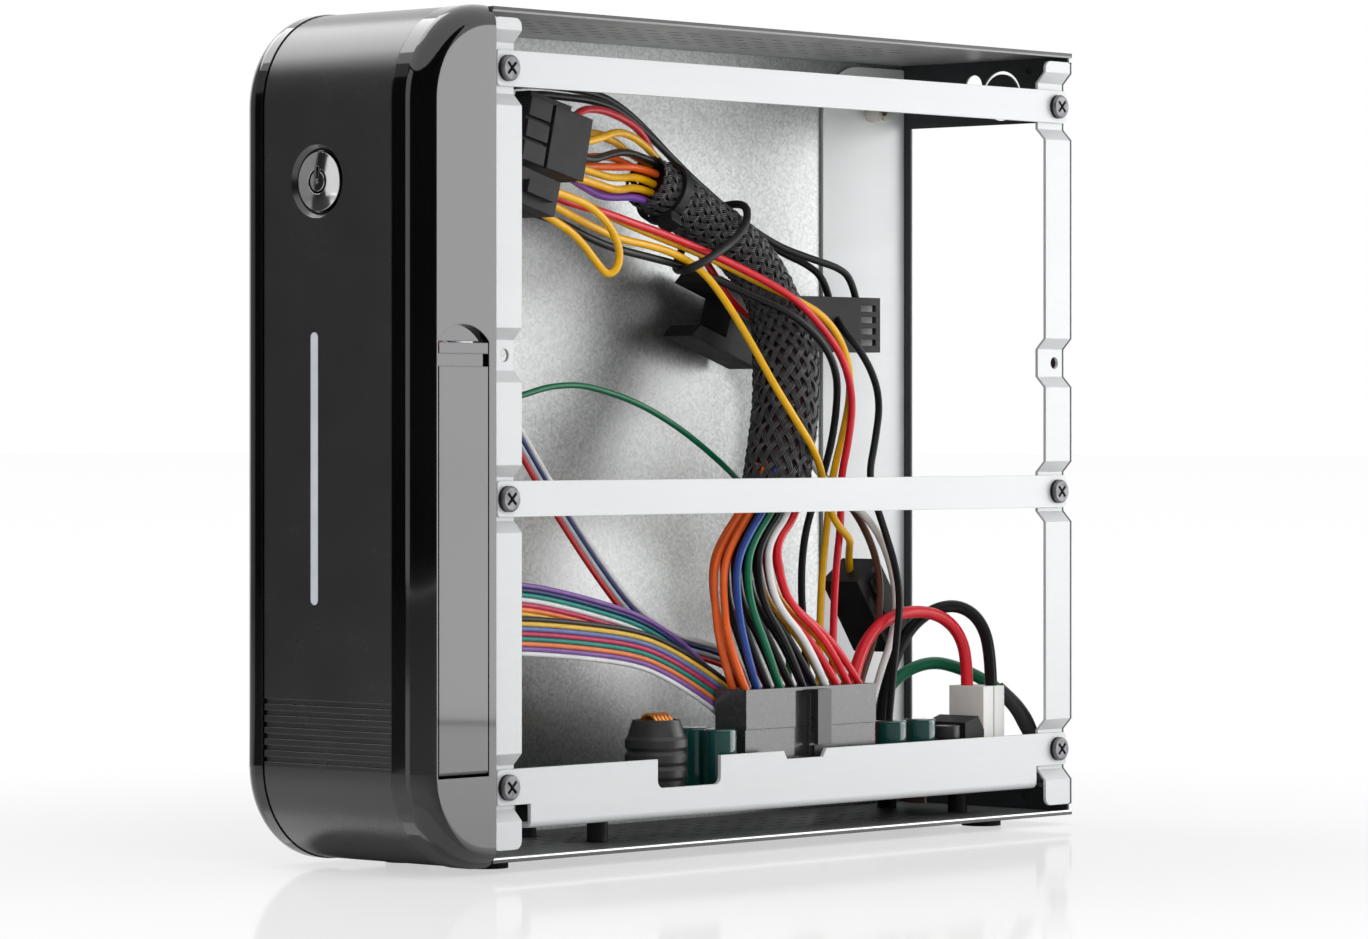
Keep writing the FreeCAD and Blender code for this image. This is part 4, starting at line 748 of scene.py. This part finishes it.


# Cable sleeve: a stocking of black nylon bristles, braided one over one, pulled over the main wires.
# It swells where it is pushed together; the wires inside are drawn as a core painted near black as painted shade,
# with the dark red of the red wires showing through.
sleeve_route = [(-3.5, -7.4, 160.7), (-3.5, 7.8, 154.1), (-3.5, 24.2, 146.8), (-2.5, 35.4, 136.6),
                (0.5, 38, 124.2), (4.5, 34.6, 111.5), (8, 29.4, 100.7), (11.1, 22.6, 85.8)]
upper_r = 0.00675
lower_r = 0.0085
swell_from = 0.48
swell_over = 0.2
bristle = 0.00048
weave = 0.00036
carriers = 16
bundle = 3
slant = 0.56
bristle_pitch = 1.05
line = drawn_line(sleeve_route)
run = [0.0]
for a, b in zip(line, line[1:]):
    run.append(run[-1] + (b - a).length)


def sleeve_radius(s):
    t = min(max((s / run[-1] - swell_from) / swell_over, 0), 1)
    return upper_r + (lower_r - upper_r) * t * t * (3 - 2 * t)


steps = 190
turned = 0.0
stations = []
k = 0
for i in range(steps + 1):
    s = run[-1] * i / steps
    while k < len(run) - 2 and run[k + 1] < s:
        k += 1
    along = (line[k + 1] - line[k]).normalized()
    point = line[k].lerp(line[k + 1], (s - run[k]) / (run[k + 1] - run[k]))
    out = (Vector((1, 0, 0)) - along * along.x).normalized()
    radius = sleeve_radius(s) - weave - bristle / 2
    turned += slant * run[-1] / steps / radius
    stations.append((point, out, along.cross(out), radius, turned))
curve = round_curve("braided_sleeve", bristle / 2, 1, 0)
for hand in (1, -1):
    for k in range(carriers * bundle):
        beside = (k % bundle - (bundle - 1) / 2) * bristle * bristle_pitch
        spline = curve.splines.new("POLY")
        spline.points.add(steps)
        for knot, (point, out, up, radius, turned) in zip(spline.points, stations):
            angle = 2 * math.pi * (k // bundle) / carriers + hand * turned + beside / radius
            off = radius + hand * weave * math.cos(carriers * turned)
            knot.co = (*(point + (out * math.cos(angle) + up * math.sin(angle)) * off), 1)
braid = finished("braided_nylon", marks, (0.050, 0.050, 0.053), (0.075, 0.075, 0.079), 300, (0.2, 0.3), 0.05,
                 edge=0)
curve.materials.append(braid)
sleeve = curve_piece("braided_sleeve", curve)
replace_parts(sleeve, "cable_sleeve")


def swollen(name, route, radii, resolution, sides):
    curve = round_curve(name, 0.001, resolution, sides, capped=True)
    for knot, radius in zip(spline_on(curve, route).points, radii):
        knot.radius = radius
    return curve


core_route = [(-3.5, -4.4, 159.4)] + sleeve_route[1:]
core_radii = (5.6, 5.6, 5.6, 5.6, 6.3, 7.3, 7.3, 7.3)
curve = swollen("sleeve_core", core_route, core_radii, 12, 6)
# Painted shade: the core is near black inside the braid, clouded with the dark red of the red wires
shaded_core_wires = finished("wires_inside_painted_shade", marks, (0.008, 0.007, 0.007), (0.05, 0.007, 0.009), 260, (0.4, 0.5), 0.2,
                        edge=0)
curve.materials.append(shaded_core_wires)
core = curve_piece("sleeve_core", curve)
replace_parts(core, "cable_sleeve")


# Ties: a flat nylon strap with a square head, pulled tight at the sleeve's top end,
# and a loose loop of plastic-coated wire that holds the plug leads against the sleeve.
strap_back = 0.0065
strap_in, strap_out, strap_half = 6.85, 7.95, 1.2
knob_size = (3.0, 4.4, 4.2)
knob_out = 0.00885
knob_turn = -60
knob_edge = 0.0003
strap_axis = (metres(sleeve_route[0]) - metres(sleeve_route[1])).normalized()
strap_at = metres(sleeve_route[0]) - strap_axis * strap_back
strap_up = strap_axis.cross(Vector((1, 0, 0)))
seat = Matrix.Translation(strap_at) @ Matrix((Vector((1, 0, 0)), strap_up, strap_axis)).transposed().to_4x4()
bm = bmesh.new()
outline = ((strap_in, -strap_half), (strap_out, -strap_half), (strap_out, strap_half), (strap_in, strap_half))
section = bm.faces.new([bm.verts.new((r * 0.001, 0, h * 0.001)) for r, h in outline])
bmesh.ops.spin(bm, geom=[section] + section.edges[:] + section.verts[:], cent=(0, 0, 0), axis=(0, 0, 1),
               angle=2 * math.pi, steps=64, use_merge=True)
seam = [f for f in bm.faces if abs(f.normal.y) > 0.9 and abs(f.calc_center_median().y) < 1e-6]
bmesh.ops.delete(bm, geom=seam, context="FACES_ONLY")
bmesh.ops.remove_doubles(bm, verts=bm.verts, dist=0.000001)
bmesh.ops.recalc_face_normals(bm, faces=bm.faces)
knob = bmesh.ops.create_cube(bm, size=0.001)["verts"]
bmesh.ops.scale(bm, vec=knob_size, verts=knob)
bmesh.ops.translate(bm, vec=(knob_out, 0, 0), verts=knob)
bmesh.ops.rotate(bm, cent=(0, 0, 0), matrix=Matrix.Rotation(math.radians(knob_turn), 3, "Z"), verts=knob)
bmesh.ops.bevel(bm, geom=list({e for v in knob for e in v.link_edges}), offset=knob_edge, affect="EDGES",
                segments=2, profile=0.5, material=-1)
bmesh.ops.transform(bm, matrix=seat, verts=bm.verts)
mesh = bpy.data.meshes.new("strap_tie")
bm.to_mesh(mesh)
bm.free()
mesh.materials.append(black_moulding)
strap = bpy.data.objects.new("strap_tie", mesh)
scene.collection.objects.link(strap)
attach(strap, "chassis")
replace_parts(strap, "cable_ties")

loop_at = Vector((-3.5, 17.3, 149.9))
loop_up = Vector((0, 0.407, 0.913))
loop_along = Vector((0, 0.913, -0.407))
loop_r = 0.001
curve = round_curve("loose_tie", loop_r, 16, 4)
spline = curve.splines.new("NURBS")
bends = [(-3, 8.8, 3.9), (4.5, 8.2, 3), (8.6, 3, 1), (9.8, -2.4, -1.4), (12.6, -9.2, -8), (13.7, -16.4, -14.7),
         (9.4, -19.1, -16), (-2, -14.5, -8), (-9.2, -4, 0), (-9.2, 5, 2.8)]
spline.points.add(len(bends) - 1)
for knot, (x, u, s) in zip(spline.points, bends):
    knot.co = (*metres(loop_at + Vector((x, 0, 0)) + loop_up * u + loop_along * s), 1)
spline.order_u = 3
spline.use_cyclic_u = True
curve.materials.append(black_moulding)
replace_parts(curve_piece("loose_tie", curve), "cable_ties")


# Lug sleeve: a short piece of black shrink tube on the ground lead.
# It is shrunk over the crimp, where the lead goes into the lug.
lug_route = [(12, 109, 34), (14.5, 110.2, 31.4), (16.6, 111, 28.8), (18.6, 111.6, 25.4), (19.6, 111.9, 23.2)]
lug_radii = (1.8, 2.0, 2.1, 2.3, 1.9)
curve = swollen("lug_sleeve", lug_route, lug_radii, 8, 4)
curve.materials.append(shrink)
curve_piece("lug_sleeve", curve)


# Bezel and port door: one gloss black moulding with a deep polish, clipped to the steel,
# and a flap of the same moulding that swings down on a steel pin.
piano_black = finished("piano_black", marks, (0.0015, 0.0015, 0.0018), (0.0025, 0.0025, 0.003), 30, (0.05, 0.08),
                       0.0, edge=0.0004, Coat_Weight=1.0, Coat_Roughness=0.03)
for piece in ("bezel_frame", "usb_door"):
    dress(piece, piano_black)


# Fascia: a satin black moulded strip bent round the front, with ribbed lines near its foot.
# It lies in a recess of the bezel, and a dish and a slot in it take the button and the light bar.
satin_black = finished("satin_black", marks, (0.004, 0.004, 0.0045), (0.006, 0.006, 0.0065), 60, (0.25, 0.28),
                       0.0, Specular_IOR_Level=1.0, Coat_Weight=0.5, Coat_Roughness=0.27)
dress("front_fascia", satin_black)


# Power button: chrome-plated, slightly domed, with the power sign sunk in it and filled black.
# It slides in the dish of the fascia and stands on the switch behind.
chrome = finished("chrome_plate", marks, (0.80, 0.80, 0.80), (0.74, 0.74, 0.75), 200, (0.06, 0.1), 0.02,
                  Metallic=1.0)
tree = chrome.node_tree
button_low, button_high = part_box("power_button")
sign_depth = 0.00022
sign_r = 0.0036
x, y, z = local_point(tree)
centre = ((button_low[0] + button_high[0]) / 2, (button_low[2] + button_high[2]) / 2)
x = reckon(tree, "SUBTRACT", x, centre[0])
z = reckon(tree, "SUBTRACT", z, centre[1])
away_squared = reckon(tree, "ADD", reckon(tree, "MULTIPLY", x, x), reckon(tree, "MULTIPLY", z, z))
away = reckon(tree, "SQRT", away_squared, 0)
sunk = reckon(tree, "GREATER_THAN", y, button_low[1] + sign_depth)
second_finish(chrome, reckon(tree, "MULTIPLY", sunk, reckon(tree, "LESS_THAN", away, sign_r)),
              Base_Color=(0.008, 0.008, 0.009), Roughness=0.5)
dress("power_button", chrome)


# Light bar: a moulded strip of frosted clear plastic, shown unlit.
# It sits in the slot of the fascia, in front of the lamp board.
frosted = finished("frosted_lens", marks, (0.62, 0.66, 0.74), (0.70, 0.73, 0.80), 200, (0.3, 0.4), 0.05)
dress("light_bar", frosted)
